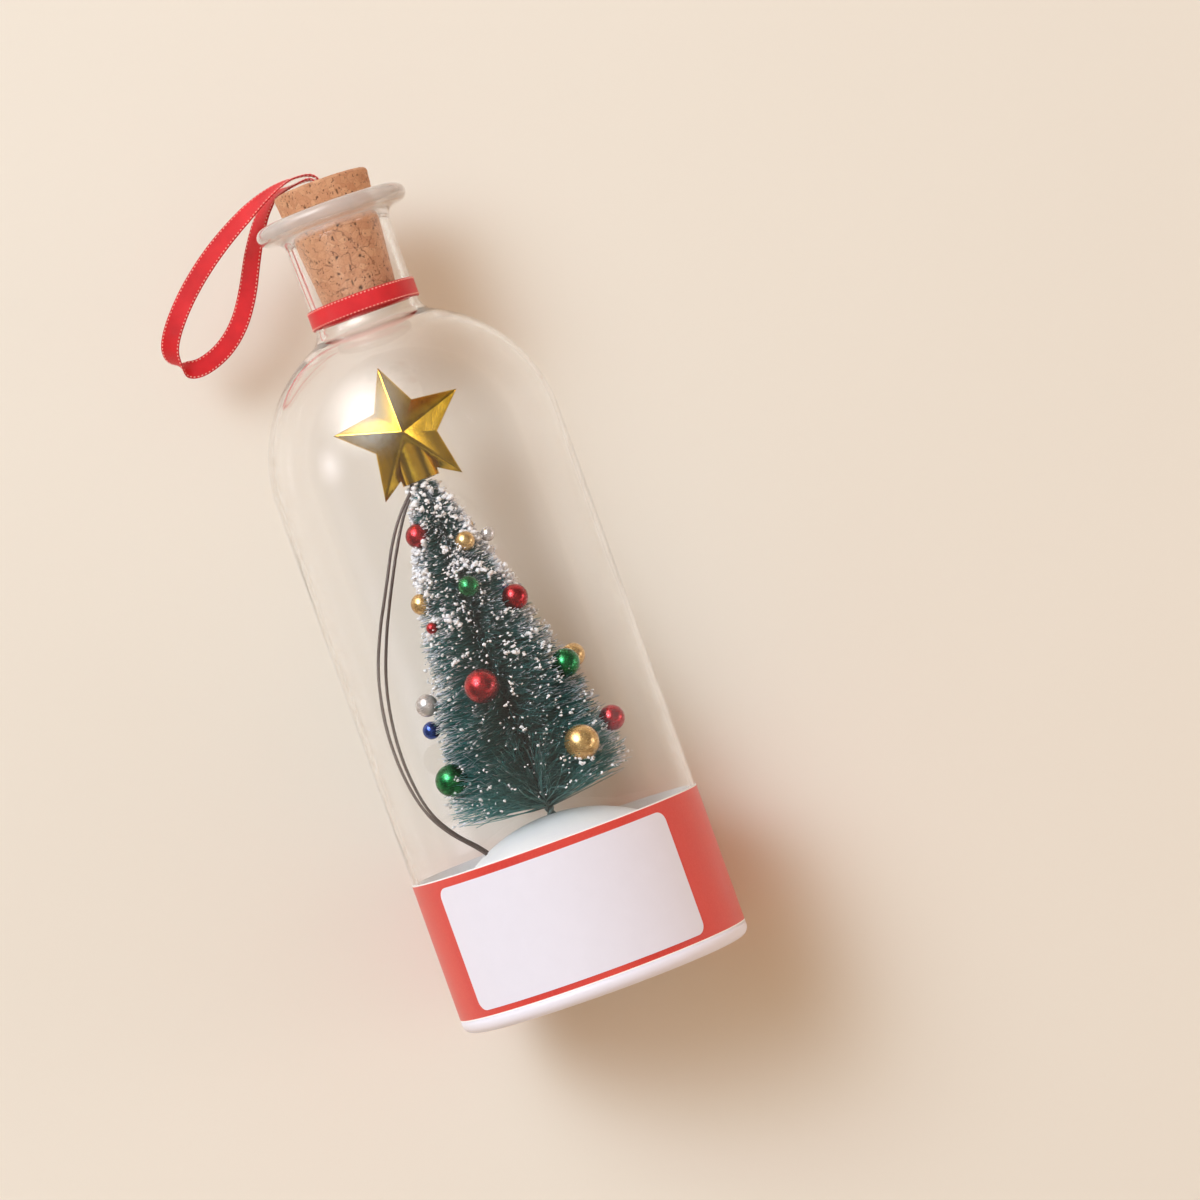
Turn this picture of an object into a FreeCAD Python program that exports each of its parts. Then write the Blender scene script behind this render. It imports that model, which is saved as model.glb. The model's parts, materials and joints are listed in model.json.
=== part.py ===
import FreeCAD, Part
import math
import os
from FreeCAD import Vector

# A corked clear bottle that holds a lit bottle-brush tree over a sound unit.
# Millimetres. Z runs up the bottle's axis from the face it stands on, and the front is -Y.

# Bottle
body_radius = 33.0
body_wall = 1.2
shoulder_level = 123.2
neck_radius = 11.9
neck_wall = 1.7
neck_fillet = 4.0
lip_radius = 17.3
lip_level = 179.7
lip_thickness = 4.0
lip_flare = 3.0
mouth_round = 2.5

# Cork
cork_length = 27.8
cork_proud = 5.6
cork_taper = 0.091
cork_chamfer = 0.6
cork_clearance = 0.05
cork_slot_depth = 9.0
cork_slot_clearance = 0.3

# Ribbons
ribbon_width = 4.2
ribbon_thickness = 0.5
neck_ribbon_rise = 0.1
trim_gap = 0.05

# Base and label
rim_height = 3.2
rim_round = 2.2
foot_width = 3.5
foot_recess = 1.4
base_wall = 1.6
base_wall_top = 19.0
base_clearance = 0.1
label_top = 34.9
label_thickness = 0.15
label_seam = 1.0
panel_width = 59.0
panel_height = 28.0
panel_level = 4.8
panel_turn = -4.0
panel_corner = 2.4
panel_thickness = 0.1
glue_gap = 0.05

# Snow dome
dome_top = 39.4
dome_skirt_height = 1.8
dome_wall = 1.6
dome_clearance = 0.3
stem_socket_radius = 3.6
stem_socket_depth = 9.0
wire_hole_clearance = 0.5

# Tree
tree_foot_x = 1.0
tree_lean = -1.5
stem_radius = 1.1
stem_clearance = 0.05
stem_top = 120.8
brush_bottom = 40.8
brush_widest_level = 46.0
brush_top = 115.0
brush_widest_radius = 22.0
brush_top_radius = 3.6
brush_taper_power = 0.8
brush_tiers = 13
tier_root_share = 0.9
bauble_socket_gap = 0.12
bauble_bury = 0.4
bauble_least_depth = 0.1

# Star and its lamp
star_radius = 15.3
star_inner_radius = 7.6
star_level = 129.4
star_depth = 5.6
star_edge = 0.6
star_wall = 1.1
collar_radius = 4.3
collar_wall = 0.9
collar_bottom = 118.1
lamp_radius = 2.5
lamp_flange_radius = 2.9
lamp_flange_height = 1.0
lamp_length = 8.6
lamp_gap = 0.1

# Wires from the lamp to the circuit board
wire_diameter = 0.7
wire_bend_share = 0.45

# Sound unit
board_length = 19.0
board_width = 14.0
board_thickness = 1.2
board_standoff = 6.4
board_side_gap = 8.5
board_middle_gap = 2.8
board_post_radius = 1.8
board_post_inset = 1.6
chip_radius = 3.5
chip_height = 1.5
switch_side = 6.0
switch_height = 3.4
plunger_radius = 1.7
plunger_gap = 0.08
plunger_length = 2.4
button_travel = 0.8
button_gap = 0.25
button_flange = 1.0
play_dx = -3.5
play_dy = -1.5
play_radius = 3.6
play_proud = 0.4
record_dx = 5.0
record_dy = 1.5
record_radius = 2.0
record_proud = -0.5
microphone_angle = 250.0
microphone_radius = 3.0
microphone_height = 2.7
microphone_hole_radius = 0.6
speaker_angle = 166.0
speaker_radius = 10.0
speaker_depth = 4.6
speaker_flange = 1.6
speaker_steel = 0.7
speaker_magnet_radius = 5.0
speaker_magnet_height = 3.6
grille_pitch = 2.8
grille_rings = 3
grille_hole_radius = 0.8
seat_gap = 0.2
ring_wall = 1.2
ring_height = 2.6
ring_wall_gap = 1.0

# Batteries
cell_count = 3
cell_radius = 5.8
cell_thickness = 3.1
cell_gap = 0.3
contact_room = 1.1
contact_thickness = 0.4
contact_width = 8.0
contact_bow = 0.55
bay_side_gap = 9.0
bay_middle_gap = 0.5
bay_wall = 2.0
bay_roof = 1.2
door_overlap = 0.9
door_thickness = 1.6
door_gap = 0.25
door_tab_radius = 3.0

# Screws
screw_radius = 1.0
screw_pilot_gap = 0.1
screw_clear_gap = 0.3
screw_head_radius = 2.1
screw_head_height = 1.0
screw_length = 5.8
screw_hole_spare = 1.2
boss_radius = 2.6
boss_wall_gap = 2.0
boss_angles = (111.0, 225.0, 353.0)
door_screw_gap = 0.06

# Round metallic baubles: colour, place across the tree, level, radius, and side (-1 front, 1 back)
baubles = (
    ("red", -5.1, 106.9, 2.75, -1),
    ("gold", 4.2, 102.1, 2.2, -1),
    ("silver", 9.3, 101.8, 1.6, -1),
    ("gold", -9.8, 92.7, 2.4, -1),
    ("green", 1.4, 92.5, 2.4, -1),
    ("red", 9.9, 86.7, 2.9, -1),
    ("red", -9.4, 86.9, 1.3, -1),
    ("silver", -16.8, 71.5, 2.5, -1),
    ("red", -3.7, 71.2, 3.85, -1),
    ("green", 15.0, 69.3, 3.2, -1),
    ("gold", 17.2, 70.2, 2.7, 1),
    ("blue", -18.0, 66.0, 2.0, 1),
    ("green", -17.5, 54.3, 3.6, -1),
    ("gold", 12.1, 52.0, 3.85, -1),
    ("red", 20.1, 54.3, 2.9, -1),
    ("gold", 5.0, 105.0, 2.2, 1),
    ("red", -6.0, 97.4, 2.4, 1),
    ("blue", 7.4, 91.0, 2.4, 1),
    ("green", -3.4, 82.3, 2.9, 1),
    ("silver", 9.0, 78.0, 2.5, 1),
    ("red", -9.5, 66.0, 3.4, 1),
    ("gold", 3.4, 58.0, 3.85, 1),
    ("green", 13.0, 53.0, 3.2, 1),
)

# Hanging ribbon: points along its middle, with the direction across its width at each
ribbon_route = (
    ((0.5, 0.0, 179.5), (0.0, 1.0, 0.0)),
    ((0.5, 0.0, 187.4), (0.0, 1.0, 0.0)),
    ((-0.8, 0.0, 189.7), (0.0, 1.0, 0.0)),
    ((-5.2, 0.2, 190.4), (0.0, 1.0, 0.1)),
    ((-11.0, 1.0, 189.3), (-0.2, 0.85, 0.5)),
    ((-18.0, 2.6, 186.4), (-0.35, 0.5, 0.8)),
    ((-26.6, 5.0, 181.8), (-0.45, 0.25, 0.86)),
    ((-34.4, 7.6, 176.2), (-0.55, 0.1, 0.8)),
    ((-40.4, 9.8, 170.4), (-0.62, 0.0, 0.77)),
    ((-44.0, 12.0, 165.6), (-0.66, 0.0, 0.75)),
    ((-44.6, 14.4, 162.4), (-0.66, 0.0, 0.75)),
    ((-43.0, 16.4, 159.8), (-0.6, 0.0, 0.8)),
    ((-39.6, 17.2, 158.6), (-0.45, 0.0, 0.9)),
    ((-33.2, 16.6, 160.6), (-0.45, 0.0, 0.88)),
    ((-27.8, 15.2, 164.8), (-0.58, 0.05, 0.8)),
    ((-23.6, 13.8, 170.8), (-0.7, 0.1, 0.7)),
    ((-20.2, 12.2, 177.4), (-0.72, 0.3, 0.6)),
    ((-16.2, 10.0, 183.8), (-0.6, 0.6, 0.5)),
    ((-11.8, 7.4, 188.3), (-0.4, 0.8, 0.4)),
    ((-6.6, 3.8, 188.8), (0.05, 0.97, 0.15)),
    ((-1.9, 0.8, 188.9), (0.0, 1.0, 0.0)),
    ((-0.5, 0.0, 187.6), (0.0, 1.0, 0.0)),
    ((-0.5, 0.0, 179.5), (0.0, 1.0, 0.0)),
)

# Lamp wires, from the lamp down the left of the tree and through the dome to the board
wire_routes = {
    "led_wire_a": (
        (-2.9, -1.0, 120.7), (-2.9, -1.0, 117.5), (-7.4, -1.2, 113.4), (-11.6, -1.8, 107.6),
        (-16.2, -2.4, 98.6), (-21.8, -3.0, 88.0), (-25.3, -3.5, 78.2), (-26.8, -3.7, 68.3),
        (-26.8, -3.6, 58.4), (-25.2, -3.4, 49.4), (-21.4, -3.0, 42.8), (-16.8, -2.6, 37.9),
        (-13.2, -2.6, 32.8), (-8.6, -3.4, 25.4), (-1.8, -5.0, 19.6), (7.0, -7.6, 16.0),
        (7.0, -7.6, 10.8),
    ),
    "led_wire_b": (
        (-2.9, 1.4, 120.7), (-2.9, 1.4, 117.3), (-7.0, 1.6, 112.9), (-10.6, 1.0, 107.0),
        (-15.6, 0.0, 97.6), (-20.4, -0.8, 87.4), (-23.9, -1.2, 77.6), (-25.6, -1.2, 67.9),
        (-25.8, -1.1, 58.0), (-24.4, -0.8, 48.9), (-20.6, -0.4, 42.2), (-16.0, -0.2, 37.6),
        (-12.4, -0.4, 32.4), (-7.4, -1.4, 25.8), (0.6, -2.8, 20.2), (9.6, -4.6, 16.2),
        (9.6, -4.6, 10.8),
    ),
}

# Sizes worked out from the ones above
bottle_inner = body_radius - body_wall
shoulder_rise = math.sqrt((body_radius + neck_fillet) ** 2 - (neck_radius + neck_fillet) ** 2)
neck_foot_level = shoulder_level + shoulder_rise
neck_bore = neck_radius - neck_wall
neck_ribbon_level = neck_foot_level + neck_ribbon_rise
lip_top = lip_level + lip_thickness / 2
cork_seat = lip_top - mouth_round
cork_top = lip_top + cork_proud
cork_bottom = cork_top - cork_length
rim_radius = body_radius + glue_gap + label_thickness
wall_radius = bottle_inner - base_clearance
base_room = wall_radius - base_wall
dome_skirt = bottle_inner - dome_clearance
dome_cap = dome_top - base_wall_top - dome_skirt_height
dome_sphere_radius = (dome_skirt ** 2 + dome_cap ** 2) / (2 * dome_cap)
dome_centre = dome_top - dome_sphere_radius
stem_bottom = dome_top - stem_socket_depth
board_level = rim_height + board_standoff
board_x = base_room - board_side_gap - board_length / 2
board_y = -board_middle_gap - board_width / 2
play_x = board_x + play_dx
play_y = board_y + play_dy
record_x = board_x + record_dx
record_y = board_y + record_dy
speaker_seat = speaker_radius + seat_gap
speaker_circle = base_room - ring_wall_gap - ring_wall - speaker_seat
speaker_x = speaker_circle * math.cos(math.radians(speaker_angle))
speaker_y = speaker_circle * math.sin(math.radians(speaker_angle))
microphone_seat = microphone_radius + seat_gap
microphone_circle = base_room - ring_wall_gap - ring_wall - microphone_seat
microphone_x = microphone_circle * math.cos(math.radians(microphone_angle))
microphone_y = microphone_circle * math.sin(math.radians(microphone_angle))
bay_length = cell_count * cell_thickness + 2 * contact_room
bay_width = 2 * (cell_radius + cell_gap)
bay_height = bay_width
bay_x = base_room - bay_side_gap - bay_wall - bay_length / 2
bay_y = bay_middle_gap + bay_wall + bay_width / 2
door_length = bay_length + 2 * door_overlap
door_width = bay_width + 2 * door_overlap
door_tab_y = bay_y + door_width / 2 + screw_head_radius
screw_pilot = screw_radius + screw_pilot_gap
boss_circle = base_room - boss_radius - boss_wall_gap
boss_places = [
    Vector(boss_circle * math.cos(math.radians(a)), boss_circle * math.sin(math.radians(a)), 0)
    for a in boss_angles
]
post_dx = board_length / 2 - board_post_inset
post_dy = board_width / 2 - board_post_inset
post_places = [
    Vector(board_x - post_dx, board_y + post_dy, 0),
    Vector(board_x + post_dx, board_y - post_dy, 0),
]
wire_points = {name: [Vector(*place) for place in route] for name, route in wire_routes.items()}


def line(a, b):
    return Part.LineSegment(Vector(a[0], 0, a[1]), Vector(b[0], 0, b[1])).toShape()


def arc(centre, radius, start, end):
    """An arc in the XZ plane about a centre, between two angles in degrees."""
    points = []
    for angle in (start, (start + end) / 2, end):
        turn = math.radians(angle)
        points.append(Vector(centre[0] + radius * math.cos(turn), 0, centre[1] + radius * math.sin(turn)))
    return Part.Arc(*points).toShape()


def polyline(*points):
    return [line(a, b) for a, b in zip(points, points[1:])]


def revolve(edges):
    face = Part.Face(Part.Wire(edges))
    return face.revolve(Vector(0, 0, 0), Vector(0, 0, 1), 360)


def rod(radius, bottom, top, x=0.0, y=0.0):
    return Part.makeCylinder(radius, top - bottom, Vector(x, y, bottom))


def tube(outer, inner, bottom, top, x=0.0, y=0.0):
    return rod(outer, bottom, top, x, y).cut(rod(inner, bottom, top, x, y))


def block(length, width, bottom, top, x, y):
    return Part.makeBox(length, width, top - bottom, Vector(x - length / 2, y - width / 2, bottom))


def save(name, shape):
    shape.exportStep("parts/" + name + ".step")


def lean(shape):
    """Tips a piece of the tree with its stem, about the stem's foot."""
    shape = shape.copy()
    shape.translate(Vector(tree_foot_x, 0, 0))
    shape.rotate(Vector(tree_foot_x, 0, dome_top), Vector(0, 1, 0), tree_lean)
    return shape


# Bottle: one blown wall, with every inner curve set off from the outer one
def bottle_half(shoulder, fillet, neck):
    """Returns the fillet's level, and the angle where it leaves the shoulder's circle."""
    across = neck + fillet
    rise = math.sqrt((shoulder + fillet) ** 2 - across ** 2)
    return shoulder_level + rise, math.degrees(math.atan2(rise, across))


def bottle_shell():
    fillet_level, fillet_angle = bottle_half(body_radius, neck_fillet, neck_radius)
    fillet_centre = (neck_radius + neck_fillet, fillet_level)
    inner_fillet = neck_fillet + body_wall
    inner_level, inner_angle = bottle_half(bottle_inner, inner_fillet, neck_bore)
    inner_centre = (neck_bore + inner_fillet, inner_level)
    lip_bottom = lip_level - lip_thickness / 2
    rim_centre = (lip_radius - lip_thickness / 2, lip_level)
    edges = [
        line((bottle_inner, rim_height), (body_radius, rim_height)),
        line((body_radius, rim_height), (body_radius, shoulder_level)),
        arc((0, shoulder_level), body_radius, 0, fillet_angle),
        arc(fillet_centre, neck_fillet, fillet_angle + 180, 180),
        line((neck_radius, fillet_level), (neck_radius, lip_bottom - lip_flare)),
        arc((neck_radius + lip_flare, lip_bottom - lip_flare), lip_flare, 180, 90),
        line((neck_radius + lip_flare, lip_bottom), (rim_centre[0], lip_bottom)),
        arc(rim_centre, lip_thickness / 2, -90, 90),
        line((rim_centre[0], lip_top), (neck_bore + mouth_round, lip_top)),
        arc((neck_bore + mouth_round, cork_seat), mouth_round, 90, 180),
        line((neck_bore, cork_seat), (neck_bore, inner_level)),
        arc(inner_centre, inner_fillet, 180, inner_angle + 180),
        arc((0, shoulder_level), bottle_inner, inner_angle, 0),
        line((bottle_inner, shoulder_level), (bottle_inner, rim_height)),
    ]
    return revolve(edges)


# Cork and ribbons
def cork_radius(level):
    return neck_bore - cork_clearance + (level - cork_seat) * cork_taper


def cork_stopper():
    top = cork_radius(cork_top)
    bottom = cork_radius(cork_bottom)
    body = revolve(polyline(
        (0, cork_bottom), (bottom - cork_chamfer, cork_bottom), (bottom, cork_bottom + cork_chamfer),
        (top, cork_top - cork_chamfer), (top - cork_chamfer, cork_top), (0, cork_top), (0, cork_bottom)))
    slot_across = 4 * ribbon_thickness + 2 * cork_slot_clearance
    slot_along = ribbon_width + 2 * cork_slot_clearance
    return body.cut(block(slot_across, slot_along, cork_top - cork_slot_depth, cork_top, 0, 0))


def triangle(a, b, c):
    return Part.Face(Part.makePolygon([a, b, c, a]))


def hanging_ribbon():
    """A thin flat-faced band through a rectangle at each point of its route."""
    points = [Vector(*place) for place, across in ribbon_route]
    sections = []
    for i, (place, across) in enumerate(ribbon_route):
        along = points[min(i + 1, len(points) - 1)].sub(points[max(i - 1, 0)]).normalize()
        width = Vector(*across)
        width = width.sub(along * width.dot(along)).normalize() * (ribbon_width / 2)
        face = along.cross(width).normalize() * (ribbon_thickness / 2)
        corners = [points[i] + width + face, points[i] - width + face,
                   points[i] - width - face, points[i] + width - face]
        sections.append(corners)
    faces = [Part.Face(Part.makePolygon(end + end[:1])) for end in (sections[0], sections[-1])]
    for near, far in zip(sections, sections[1:]):
        for i in range(4):
            j = (i + 1) % 4
            faces.append(triangle(near[i], near[j], far[j]))
            faces.append(triangle(near[i], far[j], far[i]))
    return Part.makeSolid(Part.makeShell(faces))


def neck_ribbon():
    inner = neck_radius + trim_gap
    return tube(inner + ribbon_thickness, inner, neck_ribbon_level, neck_ribbon_level + ribbon_width)


# Label: a wrap with its seam at the back, and a bare panel with rounded corners
def label_band():
    inner = body_radius + glue_gap
    wrap = tube(inner + label_thickness, inner, rim_height, label_top)
    return wrap.cut(block(label_seam, inner, rim_height, label_top, 0, inner))


def curved_patch(inner, outer, start, sweep, bottom, top):
    """A part of a tube, from one angle through a sweep, in degrees."""
    section = polyline((inner, bottom), (outer, bottom), (outer, top), (inner, top), (inner, bottom))
    patch = Part.Face(Part.Wire(section)).revolve(Vector(0, 0, 0), Vector(0, 0, 1), sweep)
    patch.rotate(Vector(0, 0, 0), Vector(0, 0, 1), start)
    return patch


def label_panel():
    """The panel, less what lies outside a radial rod in each corner."""
    inner = rim_radius + glue_gap
    outer = inner + panel_thickness
    panel_top = panel_level + panel_height
    sweep = math.degrees(panel_width / inner)
    corner_sweep = math.degrees(panel_corner / inner)
    left = panel_turn - 90 - sweep / 2
    panel = curved_patch(inner, outer, left, sweep, panel_level, panel_top)
    right = left + sweep - corner_sweep
    for start, across in ((left, left + corner_sweep), (right, right)):
        outward = Vector(math.cos(math.radians(across)), math.sin(math.radians(across)), 0)
        for bottom, level in ((panel_level, panel_level + panel_corner),
                              (panel_top - panel_corner, panel_top - panel_corner)):
            corner = curved_patch(inner, outer, start, corner_sweep, bottom, bottom + panel_corner)
            round_end = Part.makeCylinder(panel_corner, 2 * outer, Vector(0, 0, level), outward)
            panel = panel.cut(corner.cut(round_end))
    return panel


# Base: rim, floor and wall in one moulding, with the seats for all that it holds
def grille_places():
    places = [Vector(speaker_x, speaker_y, 0)]
    for ring in range(1, grille_rings):
        count = 6 * ring
        for i in range(count):
            turn = 2 * math.pi * i / count
            reach = ring * grille_pitch
            places.append(Vector(speaker_x + reach * math.cos(turn), speaker_y + reach * math.sin(turn), 0))
    return places


def door_outline(gap, bottom, top):
    plate = block(door_length + 2 * gap, door_width + 2 * gap, bottom, top, bay_x, bay_y)
    return plate.fuse(rod(door_tab_radius + gap, bottom, top, bay_x, door_tab_y)).removeSplitter()


def base_housing():
    foot_inner = rim_radius - foot_width
    base = revolve([
        line((0, foot_recess), (foot_inner, foot_recess)),
        line((foot_inner, foot_recess), (foot_inner, 0)),
        line((foot_inner, 0), (rim_radius - rim_round, 0)),
        arc((rim_radius - rim_round, rim_round), rim_round, -90, 0),
        line((rim_radius, rim_round), (rim_radius, rim_height)),
        line((rim_radius, rim_height), (wall_radius, rim_height)),
        line((wall_radius, rim_height), (wall_radius, base_wall_top)),
        line((wall_radius, base_wall_top), (base_room, base_wall_top)),
        line((base_room, base_wall_top), (base_room, rim_height)),
        line((base_room, rim_height), (0, rim_height)),
        line((0, rim_height), (0, foot_recess)),
    ])
    bay_top = rim_height + bay_height
    ring_top = rim_height + ring_height
    tab_boss = door_tab_radius + door_gap + door_overlap
    added = [
        block(bay_length + 2 * bay_wall, bay_width + 2 * bay_wall, rim_height, bay_top + bay_roof,
              bay_x, bay_y),
        rod(tab_boss, rim_height, rim_height + screw_length + screw_hole_spare, bay_x, door_tab_y),
        tube(speaker_seat + ring_wall, speaker_seat, rim_height, ring_top, speaker_x, speaker_y),
        tube(microphone_seat + ring_wall, microphone_seat, rim_height, ring_top, microphone_x, microphone_y),
    ]
    added += [rod(board_post_radius, rim_height, board_level, p.x, p.y) for p in post_places]
    cuts = [
        block(bay_length, bay_width, rim_height, bay_top, bay_x, bay_y),
        door_outline(door_gap, foot_recess, rim_height),
        rod(screw_radius + door_screw_gap, rim_height, rim_height + screw_length, bay_x, door_tab_y),
        rod(microphone_hole_radius, foot_recess, rim_height, microphone_x, microphone_y),
        rod(play_radius + button_gap, foot_recess, rim_height, play_x, play_y),
        rod(record_radius + button_gap, foot_recess, rim_height, record_x, record_y),
    ]
    cuts += [rod(grille_hole_radius, foot_recess, rim_height, p.x, p.y) for p in grille_places()]
    cuts += [rod(screw_radius + screw_clear_gap, foot_recess, rim_height, p.x, p.y) for p in boss_places]
    post_hole = board_level + board_thickness - screw_length - screw_hole_spare
    cuts += [rod(screw_pilot, post_hole, board_level, p.x, p.y) for p in post_places]
    return base.fuse(added).removeSplitter().cut(cuts)


# Snow dome: a thin cap on the base's wall, with the stem's socket and the screw bosses under it
def dome_profile(sphere, skirt):
    edge_level = dome_centre + math.sqrt(sphere ** 2 - skirt ** 2)
    edge_angle = math.degrees(math.asin((edge_level - dome_centre) / sphere))
    return revolve([
        line((0, base_wall_top), (skirt, base_wall_top)),
        line((skirt, base_wall_top), (skirt, edge_level)),
        arc((0, dome_centre), sphere, edge_angle, 90),
        line((0, dome_centre + sphere), (0, base_wall_top)),
    ])


def snow_dome():
    full = dome_profile(dome_sphere_radius, dome_skirt)
    hollow = dome_profile(dome_sphere_radius - dome_wall, dome_skirt - dome_wall)
    dome = full.cut(hollow)
    stem_line = tree_stem_solid(stem_radius + stem_clearance)
    inside = rod(base_room, rim_height, base_wall_top).fuse(full)
    supports = [rod(stem_socket_radius, stem_bottom - dome_wall, dome_top, tree_foot_x, 0)]
    supports += [rod(boss_radius, rim_height, dome_top, p.x, p.y) for p in boss_places]
    dome = dome.fuse([support.common(inside) for support in supports]).removeSplitter()
    cuts = [stem_line]
    cuts += [rod(screw_pilot, rim_height, rim_height + screw_length, p.x, p.y) for p in boss_places]
    cuts += [wire_hole(points) for points in wire_points.values()]
    return dome.cut(cuts)


def wire_hole(points):
    """A round hole along the stretch of a wire that passes through the dome."""
    inside = [p.sub(Vector(0, 0, dome_centre)).Length < dome_sphere_radius for p in points]
    crossing = inside.index(True)
    start = points[crossing - 1]
    end = points[crossing]
    return Part.makeCylinder(
        wire_diameter / 2 + wire_hole_clearance, end.sub(start).Length, start, end.sub(start))


# Tree
def tree_stem_solid(radius):
    return lean(rod(radius, stem_bottom, stem_top))


def brush_radius(level):
    share = (brush_top - level) / (brush_top - brush_widest_level)
    spread = brush_widest_radius - brush_top_radius
    return brush_top_radius + spread * max(share, 0.0) ** brush_taper_power


def bauble_solid(across, level, radius, side, gap=0.0):
    """A ball set into the bristles at the front or the back of the brush."""
    reach = max(brush_radius(level) - bauble_bury * radius, abs(across) + bauble_least_depth)
    depth = side * math.sqrt(reach ** 2 - across ** 2)
    return Part.makeSphere(radius + gap, Vector(across, depth, level), Vector(across, depth, 0))


def tree_bristles():
    """Rows of bristles as tapering tiers round the stem, with a socket for each bauble."""
    step = (brush_top - brush_widest_level) / brush_tiers
    bore = stem_radius + stem_clearance
    outline = [(bore, brush_bottom), (brush_radius(brush_widest_level), brush_widest_level)]
    for tier in range(1, brush_tiers + 1):
        level = brush_widest_level + tier * step
        outline.append((tier_root_share * brush_radius(level), level - step / 4))
        outline.append((brush_radius(level), level))
    outline.append((bore, brush_top))
    outline.append(outline[0])
    brush = revolve(polyline(*outline))
    for bauble in baubles:
        brush = brush.cut(bauble_solid(*bauble[1:], bauble_socket_gap))
    return lean(brush)


# Star: two faceted half shells on one seam, each with half of the collar
def star_solid(outer, inner, edge, depth):
    """A five-pointed pyramid in front of the seam, on a straight edge."""
    rim = []
    for i in range(10):
        turn = math.radians(90 + 36 * i)
        reach = outer if i % 2 == 0 else inner
        rim.append(Vector(reach * math.cos(turn), 0, star_level + reach * math.sin(turn)))
    front = [p + Vector(0, -edge, 0) for p in rim]
    apex = Vector(0, -edge - depth, star_level)
    faces = [Part.Face(Part.makePolygon(rim + rim[:1]))]
    for i in range(10):
        j = (i + 1) % 10
        faces.append(Part.Face(Part.makePolygon([rim[i], rim[j], front[j], front[i], rim[i]])))
        faces.append(Part.Face(Part.makePolygon([front[i], front[j], apex, front[i]])))
    return Part.makeSolid(Part.makeShell(faces))


def star_front():
    share = 1 - star_wall / star_inner_radius
    outside = star_solid(star_radius, star_inner_radius, star_edge, star_depth)
    cavity = star_solid(star_radius * share, star_inner_radius * share, star_edge, star_depth - star_wall)
    collar = rod(collar_radius, collar_bottom, star_level)
    front_side = Part.makeBox(2 * star_radius, star_radius, 3 * star_radius,
                              Vector(-star_radius, -star_radius, collar_bottom))
    shell = outside.fuse(collar.common(front_side)).removeSplitter()
    return shell.cut([cavity, rod(collar_radius - collar_wall, collar_bottom, star_level)])


def star_back(front):
    return front.mirror(Vector(0, 0, 0), Vector(0, 1, 0))


def star_lamp():
    bottom = stem_top + lamp_gap
    tip = bottom + lamp_length - lamp_radius
    body = rod(lamp_radius, bottom, tip).fuse(Part.makeSphere(lamp_radius, Vector(0, 0, tip)))
    return lean(body.fuse(rod(lamp_flange_radius, bottom, bottom + lamp_flange_height)).removeSplitter())


# Wires: straight runs joined by arcs as large as the runs allow
def cord_path(points):
    edges = []
    last = points[0]
    radii = []
    for before, corner, after in zip(points, points[1:], points[2:]):
        back = before.sub(corner)
        ahead = after.sub(corner)
        half_turn = (math.pi - back.getAngle(ahead)) / 2
        setback = wire_bend_share * min(back.Length, ahead.Length)
        radii.append(setback / math.tan(half_turn))
        start = corner + back.normalize() * setback
        end = corner + ahead.normalize() * setback
        inward = (start + end) * 0.5 - corner
        sink = radii[-1] / math.cos(half_turn) - radii[-1]
        middle = corner + inward.normalize() * sink
        edges.append(Part.LineSegment(last, start).toShape())
        edges.append(Part.Arc(start, middle, end).toShape())
        last = end
    edges.append(Part.LineSegment(last, points[-1]).toShape())
    return Part.Wire(edges), radii


def lamp_wire(name, points):
    path, radii = cord_path(points)
    circle = Part.makeCircle(wire_diameter / 2, points[0], points[1].sub(points[0]))
    solid = path.makePipeShell([Part.Wire(circle)], True, False)
    expected = math.pi * wire_diameter ** 2 / 4 * path.Length
    print(name, "length %.1f" % path.Length, "volume share %.4f" % (solid.Volume / expected),
          "radii", " ".join("%.1f" % r for r in radii))
    return solid


# Sound unit
def circuit_board():
    board = block(board_length, board_width, board_level, board_level + board_thickness, board_x, board_y)
    holes = [rod(screw_radius + screw_clear_gap, board_level, board_level + board_thickness, p.x, p.y)
             for p in post_places]
    return board.cut(holes)


def sound_chip():
    top = board_level + board_thickness
    ball_radius = (chip_radius ** 2 + chip_height ** 2) / (2 * chip_height)
    x = board_x + chip_height
    ball = Part.makeSphere(ball_radius, Vector(x, board_y, top + chip_height - ball_radius))
    return ball.common(rod(chip_radius, top, top + chip_height, x, board_y))


def push_switch(x, y):
    bottom = board_level - switch_height
    body = block(switch_side, switch_side, bottom, board_level, x, y)
    well = plunger_length / 2 + button_travel
    return body.cut(rod(plunger_radius + plunger_gap, bottom, bottom + well, x, y))


def switch_plunger(x, y):
    middle = board_level - switch_height
    return rod(plunger_radius, middle - plunger_length / 2, middle + plunger_length / 2, x, y)


def push_button(x, y, radius, proud):
    top = board_level - switch_height - plunger_length / 2
    body = rod(radius, foot_recess - proud, top, x, y)
    return body.fuse(rod(radius + button_flange, rim_height, top, x, y)).removeSplitter()


def microphone():
    return rod(microphone_radius, rim_height, rim_height + microphone_height, microphone_x, microphone_y)


def at_speaker(shape):
    shape.translate(Vector(speaker_x, speaker_y, rim_height))
    return shape


def speaker_frame():
    inner = speaker_radius - speaker_flange
    top = speaker_depth
    return at_speaker(revolve(polyline(
        (inner, 0), (speaker_radius, 0), (speaker_radius, speaker_steel),
        (inner + speaker_steel, speaker_steel),
        (speaker_magnet_radius, top), (0, top), (0, top - speaker_steel),
        (speaker_magnet_radius - speaker_steel, top - speaker_steel), (inner, speaker_steel / 2),
        (inner, 0))))


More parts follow.
